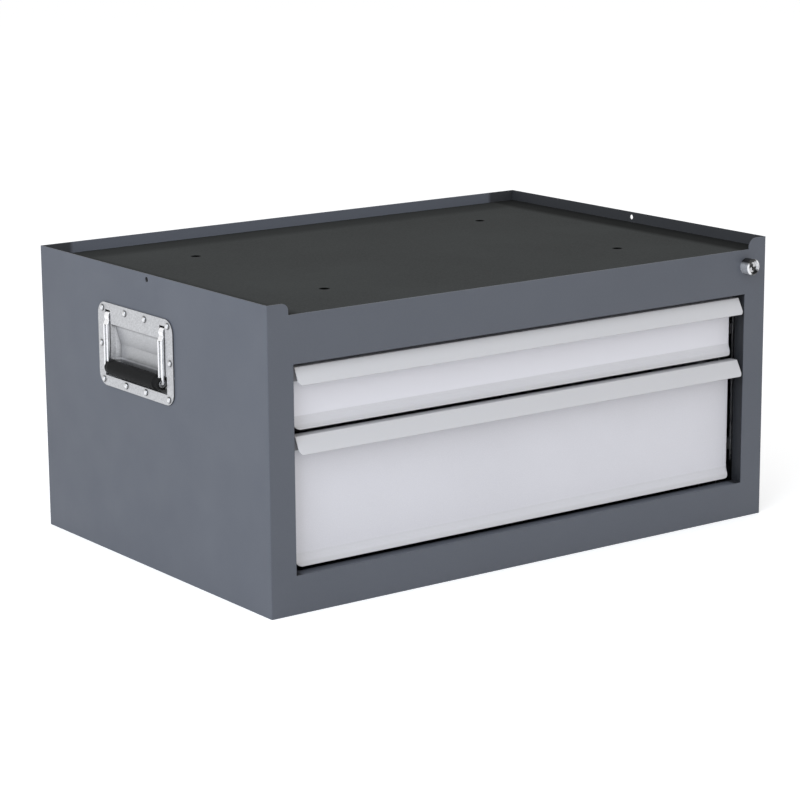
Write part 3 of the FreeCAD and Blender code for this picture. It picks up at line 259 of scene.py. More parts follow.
def new_finish(name, base, roughness, metallic=0.0, specular=0.5):
    """A material with its shader's plain values set on its own sockets."""
    material = bpy.data.materials.new(name)
    material.use_nodes = True
    tree = material.node_tree
    shader = tree.nodes["Principled BSDF"]
    shader.inputs["Base Color"].default_value = (*base, 1)
    shader.inputs["Roughness"].default_value = roughness
    shader.inputs["Metallic"].default_value = metallic
    shader.inputs["Specular IOR Level"].default_value = specular
    return material, tree, shader


def maths(tree, operation, *values):
    """One step of arithmetic on masks or plain numbers."""
    step = tree.nodes.new("ShaderNodeMath")
    step.operation = operation
    for socket, value in zip(step.inputs, values):
        if isinstance(value, (int, float)):
            socket.default_value = value
        else:
            tree.links.new(value, socket)
    return step.outputs["Value"]


def both(tree, first, *others):
    """The product of masks: 1 only where all of them are."""
    for mask in others:
        first = maths(tree, "MULTIPLY", first, mask)
    return first


def either(tree, first, *others):
    """The largest of masks: 1 where any of them is."""
    for mask in others:
        first = maths(tree, "MAXIMUM", first, mask)
    return first


def own_axis(tree, axis):
    """The place along one of the object's own axes, in metres."""
    where = tree.nodes.new("ShaderNodeTexCoord")
    split = tree.nodes.new("ShaderNodeSeparateXYZ")
    tree.links.new(where.outputs["Object"], split.inputs["Vector"])
    return split.outputs[axis]


def off(tree, place, middle):
    """The distance of a place from a middle, always positive."""
    return maths(tree, "ABSOLUTE", maths(tree, "SUBTRACT", place, middle))


def off_middle(tree, axis):
    """The distance from the chest's middle along one axis, always positive."""
    return maths(tree, "ABSOLUTE", own_axis(tree, axis))


def spread(tree, source, low, high, start=0.3, end=0.7):
    """Maps a mask from start..end to low..high and holds it there beyond them."""
    remap = tree.nodes.new("ShaderNodeMapRange")
    for socket, value in (("From Min", start), ("From Max", end), ("To Min", low), ("To Max", high)):
        remap.inputs[socket].default_value = value
    tree.links.new(source, remap.inputs["Value"])
    return remap.outputs["Result"]


def band(tree, place, middle, half, fade):
    """1 where a place is within half of the middle, falling to 0 over the fade."""
    return spread(tree, off(tree, place, middle), 1, 0, half, half + fade)


def own_place(tree, scale=(1, 1, 1)):
    """The point on the object in its own coordinates, scaled along each axis."""
    where = tree.nodes.new("ShaderNodeTexCoord")
    mapping = tree.nodes.new("ShaderNodeMapping")
    mapping.inputs["Scale"].default_value = scale
    tree.links.new(where.outputs["Object"], mapping.inputs["Vector"])
    return mapping.outputs["Vector"]


def cloud(tree, scale, detail, stretch=(1, 1, 1)):
    """Soft noise from 0 to 1 over the object, with scale patches to the metre."""
    noise = tree.nodes.new("ShaderNodeTexNoise")
    noise.inputs["Scale"].default_value = scale
    noise.inputs["Detail"].default_value = detail
    tree.links.new(own_place(tree, stretch), noise.inputs["Vector"])
    return noise.outputs["Fac"]


def blend_colours(tree, mask, first, second):
    """The first colour where the mask is 0 and the second where it is 1."""
    mix = tree.nodes.new("ShaderNodeMix")
    mix.data_type = "RGBA"
    for index, value in ((MIX_FIRST, first), (MIX_SECOND, second)):
        if isinstance(value, tuple):
            mix.inputs[index].default_value = (*value, 1)
        else:
            tree.links.new(value, mix.inputs[index])
    tree.links.new(mask, mix.inputs[MIX_SHARE])
    return mix.outputs[MIX_RESULT]


def tint(base, *factors):
    """A colour times one factor, or times one for each of its three parts, up to 1."""
    return tuple(min(1.0, float(part * factor)) for part, factor in zip(base, np.broadcast_to(factors, 3)))


def raise_grain(tree, shader, height, depth, strength, below=None):
    """Bump of a depth in metres from a height mask, over the normals below it."""
    bump = tree.nodes.new("ShaderNodeBump")
    bump.inputs["Distance"].default_value = depth
    bump.inputs["Strength"].default_value = strength
    tree.links.new(height, bump.inputs["Height"])
    if below is not None:
        tree.links.new(below, bump.inputs["Normal"])
    tree.links.new(bump.outputs["Normal"], shader.inputs["Normal"])


def soft_edges(tree, radius):
    """Normals that round a sheet's cut edges by a radius."""
    bevel = tree.nodes.new("ShaderNodeBevel")
    bevel.samples = 4
    bevel.inputs["Radius"].default_value = radius
    return bevel.outputs["Normal"]


def grime(tree, unshaded, reach, least, shade_colour):
    """Painted shade: a dark colour where neighbouring faces shut a spot in within a reach."""
    shut = tree.nodes.new("ShaderNodeAmbientOcclusion")
    shut.samples = 8
    shut.inputs["Distance"].default_value = reach
    open_share = spread(tree, shut.outputs["AO"], 0, 1, least, 0.95)
    return blend_colours(tree, open_share, shade_colour, unshaded)


def seen_directly(tree):
    """1 for what the camera sees, straight or in metal or glass."""
    rays = tree.nodes.new("ShaderNodeLightPath")
    names = ("Is Camera Ray", "Is Glossy Ray", "Is Transmission Ray")
    return either(tree, *(rays.outputs[name] for name in names))


# --- surfaces --------------------------------------------------------------------------------


def powder_coat(name, base, roughness, peel, specular, toning):
    """Baked powder: orange peel about 2 mm across over a fine speckle, with faint handling marks.

    The last argument paints light and shade onto the coat by place.
    """
    material, tree, shader = new_finish(name, base, roughness, specular=specular)
    marks = spread(tree, cloud(tree, 6.0, 4.0), 0, 1)
    body = blend_colours(tree, marks, tint(base, 0.965), tint(base, 1.03))
    speckle = spread(tree, cloud(tree, 1400.0, 1.0), 0, 0.35, 0.45, 0.75)
    grains = blend_colours(tree, speckle, body, tint(base, 1.18))
    # Painted light and shade by place.
    tree.links.new(toning(tree, grains, base), shader.inputs["Base Color"])
    sheen = spread(tree, cloud(tree, 22.0, 5.0), roughness - 0.05, roughness + 0.06)
    tree.links.new(sheen, shader.inputs["Roughness"])
    raise_grain(tree, shader, cloud(tree, 480.0, 2.0), peel, 0.55, soft_edges(tree, 0.5 * MM))
    return material


def housing_toning(tree, coat, base):
    """Slightly paler painted light inside the back, dark painted shade beside the slides and darker still
    in the opening.
    """
    x, y, z = off_middle(tree, "X"), off_middle(tree, "Y"), own_axis(tree, "Z")
    inner = both(
        tree,
        spread(tree, x, 1, 0, SIDE_FACE - 0.8 * MM, SIDE_FACE - 0.5 * MM),
        spread(tree, y, 1, 0, BACK_FACE - 0.8 * MM, BACK_FACE - 0.5 * MM),
    )
    # Painted light: the inside of the back is made paler.
    back = spread(tree, y, 0, 0.3, BACK_FACE - 2.5 * MM, BACK_FACE - 1.5 * MM)
    coat = blend_colours(tree, both(tree, inner, back), coat, tint(base, 1.9))
    # Painted shade on the inner faces beside the slides and on the rims.
    deep_shade = both(tree, inner, spread(tree, x, 0, 0.8, OPENING_SIDE - 10 * MM, OPENING_SIDE - 5 * MM))
    coat = blend_colours(tree, deep_shade, coat, tint((base[0],) * 3, 0.23))
    # Painted shade, darker still, inside the opening below its top.
    opening = both(tree, deep_shade, spread(tree, z, 1, 0, OPENING_TOP + 0.5 * MM, OPENING_TOP + 5.5 * MM))
    return blend_colours(tree, opening, coat, tint(base, 0.2))


def drawer_toning(tree, coat, base):
    """Slightly darker painted shade on the lips and hem strips, dark painted shade behind the lips,
    painted light on the upper front.
    """
    y, z = own_axis(tree, "Y"), own_axis(tree, "Z")
    feet = [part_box(f"{drawer}_drawer_front")[0].z for drawer in DRAWERS]
    tops = [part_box(f"{drawer}_drawer_front")[1].z for drawer in DRAWERS]
    front = spread(tree, y, 1, 0, TRAY_FRONT - 0.5 * MM, TRAY_FRONT)
    panel_foot = feet[0] + 13 * MM
    # Painted light: the upper front above its lowest 13 mm is made paler.
    panel = both(tree, spread(tree, z, 0, 1, panel_foot, panel_foot + 1 * MM), front)
    coat = blend_colours(tree, panel, coat, tint(base, 1.13))
    # Painted shade on the lips and on the hem strips of the fronts.
    hems = either(tree, *(band(tree, z, foot + 6.5 * MM, 6.4 * MM, 0.5 * MM) for foot in feet))
    lips = spread(tree, y, 1, 0, TRAY_FRONT - 4.5 * MM, TRAY_FRONT - 2.5 * MM)
    folds = either(tree, lips, both(tree, hems, front, 0.4))
    coat = blend_colours(tree, folds, coat, tint(base, 0.88, 0.885, 0.86))
    # Painted shade on the sheet behind the lips.
    behind = either(tree, *(band(tree, z, top - 8.5 * MM, 8.2 * MM, 0.5 * MM) for top in tops))
    sheet = both(
        tree,
        spread(tree, y, 1, 0, TRAY_FRONT - 0.2 * MM, TRAY_FRONT),
        spread(tree, y, 0, 1, TRAY_FRONT - 2.2 * MM, TRAY_FRONT - 1.8 * MM),
    )
    return blend_colours(tree, both(tree, behind, sheet), coat, tint(base, 0.35))


def plated_steel(name, base, roughness, grain_axis):
    """Plated sheet: streaks from rolling along one axis and cloudy patches of the plating."""
    material, tree, shader = new_finish(name, base, roughness, metallic=1.0)
    stretch = tuple(0.02 if axis == grain_axis else 1.0 for axis in "xyz")
    streaks = cloud(tree, 900.0, 2.0, stretch)
    patches = cloud(tree, 55.0, 4.0)
    body = blend_colours(tree, spread(tree, patches, 0, 1), tint(base, 0.9), tint(base, 1.1))
    toned = blend_colours(tree, spread(tree, streaks, 0, 0.3, 0.4, 0.7), body, tint(base, 0.72))
    tree.links.new(toned, shader.inputs["Base Color"])
    dull = spread(tree, patches, roughness - 0.06, roughness + 0.1)
    tree.links.new(dull, shader.inputs["Roughness"])
    raise_grain(tree, shader, streaks, 0.02 * MM, 0.5, soft_edges(tree, 0.35 * MM))
    return material


def polished_metal(name, base, roughness, corner_shade=0.0, foot=None):
    """Bright plating with faint wipe marks, and painted shade in its corners if asked for.

    The foot is the face that rivets stand on: painted shade darkens their lowest millimetre.
    """
    material, tree, shader = new_finish(name, base, roughness, metallic=1.0)
    wipes = cloud(tree, 160.0, 5.0)
    tone = blend_colours(tree, spread(tree, wipes, 0, 1), tint(base, 0.93), tint(base, 1.05))
    # Painted shade where neighbouring faces close in, if asked for.
    if corner_shade:
        tone = grime(tree, tone, 3 * MM, 0.3, tint(base, 1 - corner_shade))
    # Painted shade on the rivets' lowest millimetre.
    if foot is not None:
        low = spread(tree, off_middle(tree, "X"), 0.8, 0, foot + 0.9 * MM, foot + 1.8 * MM)
        tone = blend_colours(tree, low, tone, tint(base, 0.12))
    tree.links.new(tone, shader.inputs["Base Color"])
    tree.links.new(spread(tree, wipes, roughness, roughness + 0.09), shader.inputs["Roughness"])
    raise_grain(tree, shader, wipes, 0.02 * MM, 0.3, soft_edges(tree, 0.4 * MM))
    return material


def lock_metal(name, base, roughness, turn):
    """Polished lock metal with a painted reflection: light and dark sectors round the lock's axis, like a
    room in a mirror.

    A face is painted dark where cos(2 angle - turn) is under -0.45 and light where it is over 0.35.
    """
    material, tree, shader = new_finish(name, base, roughness, metallic=0.65)
    axis_x, _, axis_z = box_middle("lock_barrel")
    across = maths(tree, "SUBTRACT", own_axis(tree, "X"), float(axis_x))
    up = maths(tree, "SUBTRACT", own_axis(tree, "Z"), float(axis_z))
    angle = maths(tree, "ARCTAN2", up, across)
    wave = maths(tree, "COSINE", maths(tree, "SUBTRACT", maths(tree, "MULTIPLY", angle, 2.0), turn))
    wipes = cloud(tree, 260.0, 4.0)
    tone = blend_colours(tree, spread(tree, wipes, 0, 1), tint(base, 0.9), tint(base, 1.1))
    # Painted reflection: dark and light sectors round the lock's axis.
    lit = blend_colours(tree, spread(tree, wave, 0, 1, -0.45, 0.35), tint(base, 0.05), tone)
    tree.links.new(lit, shader.inputs["Base Color"])
    tree.links.new(spread(tree, wipes, roughness, roughness + 0.08), shader.inputs["Roughness"])
    raise_grain(tree, shader, wipes, 0.02 * MM, 0.3)
    return material


def rubber(name, base, roughness, grain, scale, specular, toning=None):
    """Moulded rubber: a pebbled skin of scale pebbles to the metre, with greyed high spots.

    The last argument, if given, paints shade onto the rubber by place.
    """
    material, tree, shader = new_finish(name, base, roughness, specular=specular)
    pebbles = tree.nodes.new("ShaderNodeTexVoronoi")
    pebbles.feature = "SMOOTH_F1"
    pebbles.inputs["Scale"].default_value = scale
    tree.links.new(own_place(tree), pebbles.inputs["Vector"])
    skin = pebbles.outputs["Distance"]
    dust = cloud(tree, 9.0, 5.0)
    tone = blend_colours(tree, spread(tree, dust, 0, 1), tint(base, 0.86), tint(base, 1.2))
    worn = blend_colours(tree, spread(tree, skin, 0.4, 0.0, 0.1, 0.6), tone, tint(base, 1.45))
    # Painted shade by place, if asked for.
    if toning is not None:
        worn = toning(tree, worn, base)
    tree.links.new(worn, shader.inputs["Base Color"])
    tree.links.new(spread(tree, dust, roughness - 0.06, roughness + 0.08), shader.inputs["Roughness"])
    raise_grain(tree, shader, skin, grain, 0.6)
    return material


def mat_toning(tree, skin, base):
    """Painted shade along the side and back rims and round the bolt holes."""
    x, y = off_middle(tree, "X"), own_axis(tree, "Y")
    # Painted shade in bands along the side and back rims.
    sides = spread(tree, x, 0, 0.85, SIDE_FACE - 44 * MM, SIDE_FACE - 30 * MM)
    back = spread(tree, y, 0, 0.4, BACK_FACE - 52 * MM, BACK_FACE - 34 * MM)
    rim_shaded = blend_colours(tree, either(tree, sides, back), skin, tint(base, 0.18))
    # Painted shade round the bolt holes.
    across = maths(tree, "SUBTRACT", x, BOLT_ACROSS)
    along = maths(tree, "SUBTRACT", off(tree, y, BOLT_MIDDLE), BOLT_ALONG)
    squares = (maths(tree, "POWER", part, 2.0) for part in (across, along))
    reach = maths(tree, "SQRT", maths(tree, "ADD", *squares))
    return blend_colours(tree, spread(tree, reach, 0.95, 0, 5.2 * MM, 6.2 * MM), rim_shaded, tint(base, 0.03))


# --- finishes, each named as its maker -------------------------------------------------------


def housing_powder_coat(name, colours):
    """Grey coat of the panels and the front frame."""
    base = tuple(colours.housing)
    return powder_coat(name, base, roughness=0.5, peel=0.05 * MM, specular=0.3, toning=housing_toning)


def drawer_powder_coat(name, colours):
    """Pale coat of the fronts and trays."""
    base = tuple(colours.drawers)
    return powder_coat(name, base, roughness=0.42, peel=0.04 * MM, specular=0.35, toning=drawer_toning)


def top_mat_rubber(name, colours):
    """Matt mat on the top."""
    base = tuple(colours.mat)
    return rubber(name, base, 0.9, grain=0.2 * MM, scale=520.0, specular=0.05, toning=mat_toning)


def drawer_liner_rubber(name, colours):
    """Liner in the drawers."""
    return rubber(name, tuple(colours.liner), 0.8, grain=0.3 * MM, scale=420.0, specular=0.2)


def grip_moulded_rubber(name, colours):
    """Black grips of the handles."""
    return rubber(name, tuple(colours.grip), 0.55, grain=0.08 * MM, scale=900.0, specular=0.04)


def zinc_along_depth(name, colours):
    """Slide members and cages, rolled from front to back."""
    return plated_steel(name, tuple(colours.zinc), roughness=0.36, grain_axis="y")


def zinc_upright(name, colours):
    """Uprights and lock works, rolled from foot to top."""
    return plated_steel(name, tuple(colours.zinc), roughness=0.40, grain_axis="z")


def handle_plate_zinc(name, colours):
    """Dull plated pressing: fine bright and dark grit, painted shade in the corners, in the dish and under
    its top edge, and a painted highlight on the lower ledge.
    """
    base = tint(colours.bright, 0.8)
    roughness = 0.4
    material, tree, shader = new_finish(name, base, roughness, metallic=0.85)
    x, z = off_middle(tree, "X"), own_axis(tree, "Z")
    grit = cloud(tree, 750.0, 3.0)
    patches = cloud(tree, 90.0, 3.0)
    body = blend_colours(tree, spread(tree, patches, 0, 1), tint(base, 0.95), tint(base, 1.05))
    gritty = blend_colours(tree, spread(tree, grit, 0, 1, 0.35, 0.65), tint(base, 0.7), tint(base, 1.28))
    tone = blend_colours(tree, spread(tree, patches, 0.5, 0.62), body, gritty)
    # Painted shade where neighbouring faces close in.
    tone = grime(tree, tone, 3 * MM, 0.5, tint(base, 0.15))
    # Painted shade deeper in the dish.
    depth = spread(tree, x, 0.5, 0, PLATE_FACE - 9.2 * MM, PLATE_FACE - 4.5 * MM)
    tone = blend_colours(tree, depth, tone, tint(base, 0.62))
    pressed = spread(tree, x, 1, 0, PLATE_FACE - 1.5 * MM, PLATE_FACE - 0.9 * MM)
    # Painted shade under the dish's top edge.
    under_top_shade = spread(tree, z, 0, 0.7, DISH_TOP - 4.5 * MM, DISH_TOP - 1.0 * MM)
    tone = blend_colours(tree, both(tree, pressed, under_top_shade), tone, tint(base, 0.12))
    # Painted highlight on the lower ledge.
    ledge = band(tree, z, PLATE_MIDDLE - 14.6 * MM, 0.8 * MM, 0.4 * MM)
    tone = blend_colours(tree, both(tree, pressed, ledge), tone, tint(base, 1.4))
    # Painted shade on the downward face at the dish's top.
    recess = spread(tree, x, 1, 0, PLATE_FACE - 1.3 * MM, PLATE_FACE - 1.0 * MM)
    downward = band(tree, z, DISH_TOP, 0.3 * MM, 0.2 * MM)
    tone = blend_colours(tree, both(tree, recess, downward), tone, tint(base, 0.2))
    tree.links.new(tone, shader.inputs["Base Color"])
    tree.links.new(spread(tree, grit, roughness - 0.05, roughness + 0.08), shader.inputs["Roughness"])
    raise_grain(tree, shader, grit, 0.05 * MM, 0.5)
    return material


def bright_bail(name, colours):
    """Bright bails of the handles, with painted shade in their corners."""
    return polished_metal(name, tint(colours.bright, 1.45), 0.16, corner_shade=0.85)


def rivet_bright_steel(name, colours):
    """Flat rivets, pins and the lock's thread, with painted shade in their corners."""
    return polished_metal(name, tint(colours.bright, 1.1), 0.22, corner_shade=0.9)


def domed_rivet_steel(name, colours):
    """Domed rivets of the handle plates, with painted shade in their corners and at the foot."""
    return polished_metal(name, tint(colours.bright, 1.15), 0.22, corner_shade=0.9, foot=PLATE_FACE)


def spring_wire_steel(name, colours):
    """Wire of the torsion springs."""
    return polished_metal(name, tint(colours.zinc, 0.6), 0.3)


def ball_steel(name, colours):
    """Balls of the slides."""
    return polished_metal(name, tuple(colours.chrome), 0.07)


def lock_polished_chrome(name, colours):
    """The lock's barrel, with a painted reflection."""
    return lock_metal(name, tuple(colours.chrome), 0.2, turn=0.6)


def plug_polished_chrome(name, colours):
    """The lock's plug, with a painted reflection."""
    return lock_metal(name, tint(colours.chrome, 0.7), 0.15, turn=1.9)


def finish(maker):
    """The finish of that maker, made the first time that it is asked for."""
    name = maker.__name__
    if any(entry["slot"] == name for entry in frame["record"]["materials"]):
        raise RuntimeError(f"{name} is the packed model's own plain material")
    return bpy.data.materials.get(name) or maker(name, bpy.context.scene.chest_colours)


def paint(names, maker):
    """Gives CAD nodes a finish in place of the plain one."""
    if not names:
        raise RuntimeError(f"no nodes for {maker.__name__}")
    for name in names:
        slots = frame["nodes"][name].data.materials
        slots.clear()
        slots.append(finish(maker))


# --- operators: CAD nodes --------------------------------------------------------------------


class CHEST_OT_finish_housing(Operator):
    """Powder coat on the housing's panels and frame, rubber on the mat"""

    bl_idname = "chest.finish_housing"
    bl_label = "Finish housing"

    def execute(self, context):
        panels = ["side_panel_left", "side_panel_right", "back_panel", "bottom_panel", "top_panel"]
        paint(panels + ["front_frame"], housing_powder_coat)
        paint(["top_mat"], top_mat_rubber)
        paint(nodes_with("_slide_upright_"), zinc_upright)
        return {"FINISHED"}


class CHEST_OT_finish_drawers(Operator):
    """Pale powder coat on fronts and trays, rubber on the liners, zinc on the lock's catches"""

    bl_idname = "chest.finish_drawers"
    bl_label = "Finish drawers"

    def execute(self, context):
        paint(nodes_with("_drawer_front") + nodes_with("_drawer_tray"), drawer_powder_coat)
        paint(nodes_with("_drawer_liner"), drawer_liner_rubber)
        paint(nodes_with("_lock_catch"), zinc_upright)
        return {"FINISHED"}


class CHEST_OT_finish_slides(Operator):
    """Rolled zinc on the slide members and their ball cages"""

    bl_idname = "chest.finish_slides"
    bl_label = "Finish slides"

    def execute(self, context):
        for pattern in ("_slide_outer_", "_slide_middle_", "_slide_inner_", "_ball_cages"):
            paint(nodes_with(pattern), zinc_along_depth)
        return {"FINISHED"}


class CHEST_OT_finish_handles(Operator):
    """Bright plating on the handle plates, bails, pins and rivets"""

    bl_idname = "chest.finish_handles"
    bl_label = "Finish handles"

    def execute(self, context):
        paint(nodes_with("_handle_dish"), handle_plate_zinc)
        paint(nodes_with("_handle_bail"), bright_bail)
        paint(nodes_with("_handle_rivets") + nodes_with("_handle_pin"), rivet_bright_steel)
        return {"FINISHED"}


class CHEST_OT_finish_lock(Operator):
    """Chrome on the lock's head, zinc on the works behind it"""

    bl_idname = "chest.finish_lock"
    bl_label = "Finish lock"

    def execute(self, context):
        paint(["lock_barrel"], lock_polished_chrome)
        paint(["lock_plug"], plug_polished_chrome)
        paint(["lock_nut", "lock_cam", "cam_screw", "lock_bar", "lock_bar_guides"], zinc_upright)
        return {"FINISHED"}


# --- operators: new pieces -------------------------------------------------------------------


def slide_ball(radius):
    """A ball: the profile (-radius cos t, radius sin t), t from 0 to half a turn, turned."""
    angle = np.linspace(0, np.pi, 9)
    return turned(radius * np.stack([-np.cos(angle), np.sin(angle)], 1), 12)


class CHEST_OT_slide_balls(Operator):
    """Steel balls in the pockets of every cage"""

    bl_idname = "chest.slide_balls"
    bl_label = "Slide balls"

    def execute(self, context):
        details = context.scene.chest_details
        ball = slide_ball(details.ball_radius)
        steps = (np.arange(details.balls) - (details.balls - 1) / 2) * details.ball_pitch
        steps += box_middle("upper_outer_ball_cages")[1]
        for drawer in DRAWERS:
            for row in ("outer", "inner"):
                low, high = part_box(f"{drawer}_{row}_ball_cages")
                side, along, edge = np.meshgrid((-1, 1), steps, (-1, 1), indexing="ij")
                across = side * (OPENING_SIDE - details.ball_plane)
                up = (low.z + high.z) / 2 + edge * (high.z - low.z - CAGE_GAUGE) / 2
                mesh_piece(
                    f"{drawer}_{row}_balls",
                    copies(ball, np.stack([across, along, up], -1).reshape(-1, 3)),
                    f"{drawer}_{row}_cages",
                    finish(ball_steel),
                )
        return {"FINISHED"}


def wall_rivet(radius, height):
    """A low dome turned about its axis, on a flat foot sunk a tenth of a millimetre into the wall."""
    foot = np.array([[0, 0], [0, radius]]) - [0.1 * MM, 0]
    return turned(np.concatenate([foot, dome(radius, height, 6)]), 20)


class CHEST_OT_drawer_rivets(Operator):
    """Low domed rivet heads inside the drawer walls, where the inner slide members are fixed"""

    bl_idname = "chest.drawer_rivets"
    bl_label = "Drawer rivets"

    def execute(self, context):
        details = context.scene.chest_details
        head = wall_rivet(details.rivet_radius, details.rivet_height)
        margin, count = 40 * MM, 3
        for drawer in DRAWERS:
            low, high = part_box(f"{drawer}_drawer_tray")
            height = box_middle(f"{drawer}_slide_inner_left")[2]
            spots = np.linspace(low.y + margin, high.y - margin, count)
            wall = high.x - TRAY_WALL
            rows = [
                copies(head * [-side, 1, 1], [(side * wall, spot, height) for spot in spots])
                for side in SIDES.values()
            ]
            mesh_piece(
                f"{drawer}_tray_rivets",
                np.concatenate(rows),
                f"{drawer}_drawer",
                finish(rivet_bright_steel),
            )
        return {"FINISHED"}


def grip_profile(details):
    """(distance, radius) along the grip: quarter-round ends, a narrow collar, then a ribbed middle.

    A rib is depth (1 - cos(2 pi distance / pitch)) / 2 below the middle's radius.
    """
    end, pitch, step = 2.5 * MM, 2.5 * MM, 0.5 * MM
    tip = quarter(8)
    cap = np.stack(
        [-details.grip_half + end * (1 - np.cos(tip)), details.grip_waist - end * (1 - np.sin(tip))], 1
    )
    collar = [-details.grip_middle - step, details.grip_waist]
    start = np.concatenate([[[-details.grip_half, 0]], cap, [collar]])
    middle = np.linspace(-details.grip_middle, details.grip_middle, 161)
    ribs = details.grip_radius - details.grip_rib * (0.5 - 0.5 * np.cos(2 * np.pi * middle / pitch))
    return np.concatenate([start, np.stack([middle, ribs], 1), start[::-1] * [-1, 1]])


class CHEST_OT_handle_grips(Operator):
    """Moulded rubber grips with fine ribs, a step outside each arm and rounded ends"""

    bl_idname = "chest.handle_grips"
    bl_label = "Handle grips"

    def execute(self, context):
        lengthwise = turned(grip_profile(context.scene.chest_details), 48)[..., [1, 0, 2]]
        for side in SIDES:
            piece = mesh_piece(
                f"{side}_moulded_grip",
                copies(lengthwise, [box_middle(f"{side}_handle_grip")]),
                f"{side}_bail",
                finish(grip_moulded_rubber),
            )
            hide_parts(f"{side}_handle_grip")
        return {"FINISHED"}


def plate_rivet(radius, height, tail):
    """A flared end at the tail, a straight shank and a domed head, turned about its axis.

    The flare opens from 1.6 to 2.7 mm over one millimetre; the shank is 2 mm in radius.
    """
    shank, tip, flare, flare_length = 2 * MM, 1.6 * MM, 2.7 * MM, 1 * MM
    flared = [[tail, 0], [tail, tip], [tail + flare_length, flare], [tail + flare_length, shank]]
    profile = np.concatenate([flared, [[0, shank], [0, radius]], dome(radius, height, 8)])
    return turned(profile, 24)


class CHEST_OT_handle_rivets(Operator):
    """Domed rivets through the handle plates and side panels, flared inside"""

    bl_idname = "chest.handle_rivets"
    bl_label = "Handle rivets"

    def execute(self, context):
        details = context.scene.chest_details
        for side, outward in SIDES.items():
            low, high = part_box(f"{side}_handle_rivets")
            tail = min(abs(low.x), abs(high.x)) - PLATE_FACE
            rivet = plate_rivet(details.dome_radius, details.dome_height, tail)
            middle = box_middle(f"{side}_handle_dish") * [0, 1, 1]
            piece = mesh_piece(
                f"{side}_domed_rivets",
                copies((rivet + [PLATE_FACE, 0, 0]) * [outward, 1, 1], RIVET_PLACES + middle),
                "housing",
                finish(domed_rivet_steel),
            )
            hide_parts(f"{side}_handle_rivets")
        return {"FINISHED"}


def spring_path(mean, half, pitch, outward):
    """A coil between two straight tails that reach towards the middle of the chest.

    Coil point t = (-outward mean sin t, pitch t / full turn - half, mean cos t); the tails run along X
    at the height of the coil's top.
    """
    turns = int(2 * half / pitch)
    turn = np.linspace(0, 2 * np.pi * turns, turns * 18)
    along = pitch * turn / (2 * np.pi) - half
    coil = np.stack([-outward * mean * np.sin(turn), along, mean * np.cos(turn)], 1)
    tail = np.stack([np.linspace(14 * MM, 1 * MM, 6), np.zeros(6), np.full(6, mean)], 1)
    tail *= [-outward, 1, 1]
    return np.concatenate([tail + [0, along[0], 0], coil[:-1], tail[::-1] + [0, along[-1], 0]])


class CHEST_OT_handle_springs(Operator):
    """Wound torsion springs on the handle pins, each with two straight tails"""

    bl_idname = "chest.handle_springs"
    bl_label = "Handle springs"

    def execute(self, context):
        wire = context.scene.chest_details.wire_radius
        for side, outward in SIDES.items():
            low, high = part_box(f"{side}_handle_spring")
            mean = (high.z - low.z) / 2 - wire
            half = (high.y - low.y) / 2 - wire
            path = spring_path(mean, half, 2.15 * wire, outward) + box_middle(f"{side}_handle_spring")
            piece = mesh_piece(
                f"{side}_torsion_spring",
                swept(path, wire, 8, axis=[0, 1, 0])[None],
                "housing",
                finish(spring_wire_steel),
            )
            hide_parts(f"{side}_handle_spring")
        return {"FINISHED"}


def thread_ring(start, end, pitch, depth):
    """A screw thread about the Y axis: radius = root + depth (1 - |2 p - 1|).

    p is what remains of (along - start) / pitch - turn / full turn after its whole part. The first
    and last rings have the bore's radius, and the mesh joins them inside.
    """
    root, bore, turn_rings = 7.5 * MM, 7.1 * MM, 10
    rings = int((end - start) / pitch * turn_rings)
    along, turn = np.meshgrid(np.linspace(start, end, rings), circle(48), indexing="ij")
    phase = ((along - start) / pitch - turn / (2 * np.pi)) % 1
    radius = root + depth * (1 - np.abs(2 * phase - 1))
    radius[[0, -1]] = bore
    return np.stack([radius * np.cos(turn), along, radius * np.sin(turn)], -1)


class CHEST_OT_lock_thread(Operator):
    """Screw thread on the lock's body behind its nut, a closed ring rooted in the barrel's wall"""

    bl_idname = "chest.lock_thread"
    bl_label = "Lock thread"

    def execute(self, context):
        details = context.scene.chest_details
        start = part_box("lock_nut")[1].y + 0.3 * MM
        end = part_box("lock_barrel")[1].y - 0.2 * MM
        thread = thread_ring(start, end, details.thread_pitch, details.thread_depth)
        mesh_piece(
            "lock_thread",
            copies(thread, [box_middle("lock_barrel") * [1, 0, 1]]),
            "housing",
            finish(rivet_bright_steel),
            joined=True,
        )
        return {"FINISHED"}


# --- stage -----------------------------------------------------------------------------------

FLOOR_REACH = 12.0
LAMP_SIZE = 2.6
LAMP_AIM = np.array([0, 0, 0.15])
WHITE = (1, 1, 1)


def studio_floor_white(name, base):
    """Pale floor that is lifted to white where it is seen and nothing shades it."""
    material, tree, shader = new_finish(name, base, 0.9, specular=0.0)
    shader.inputs["Emission Color"].default_value = (*WHITE, 1)
    lift = spread(tree, seen_directly(tree), 0, 0.46, 0.0, 1.0)
    tree.links.new(lift, shader.inputs["Emission Strength"])
    grain = spread(tree, cloud(tree, 3.0, 2.0), 0, 1)
    tree.links.new(blend_colours(tree, grain, tint(base, 0.995), base), shader.inputs["Base Color"])
    return material


def add_floor(scene, base):
    """One wide square under the chest."""
    mesh = bpy.data.meshes.new("studio_floor")
    corners = [(-1, -1, 0), (1, -1, 0), (1, 1, 0), (-1, 1, 0)]
    mesh.from_pydata((FLOOR_REACH * np.array(corners)).tolist(), [], [(0, 1, 2, 3)])
    mesh.materials.append(studio_floor_white("studio_floor_white", base))
    floor = bpy.data.objects.new("studio_floor", mesh)
    scene.collection.objects.link(floor)


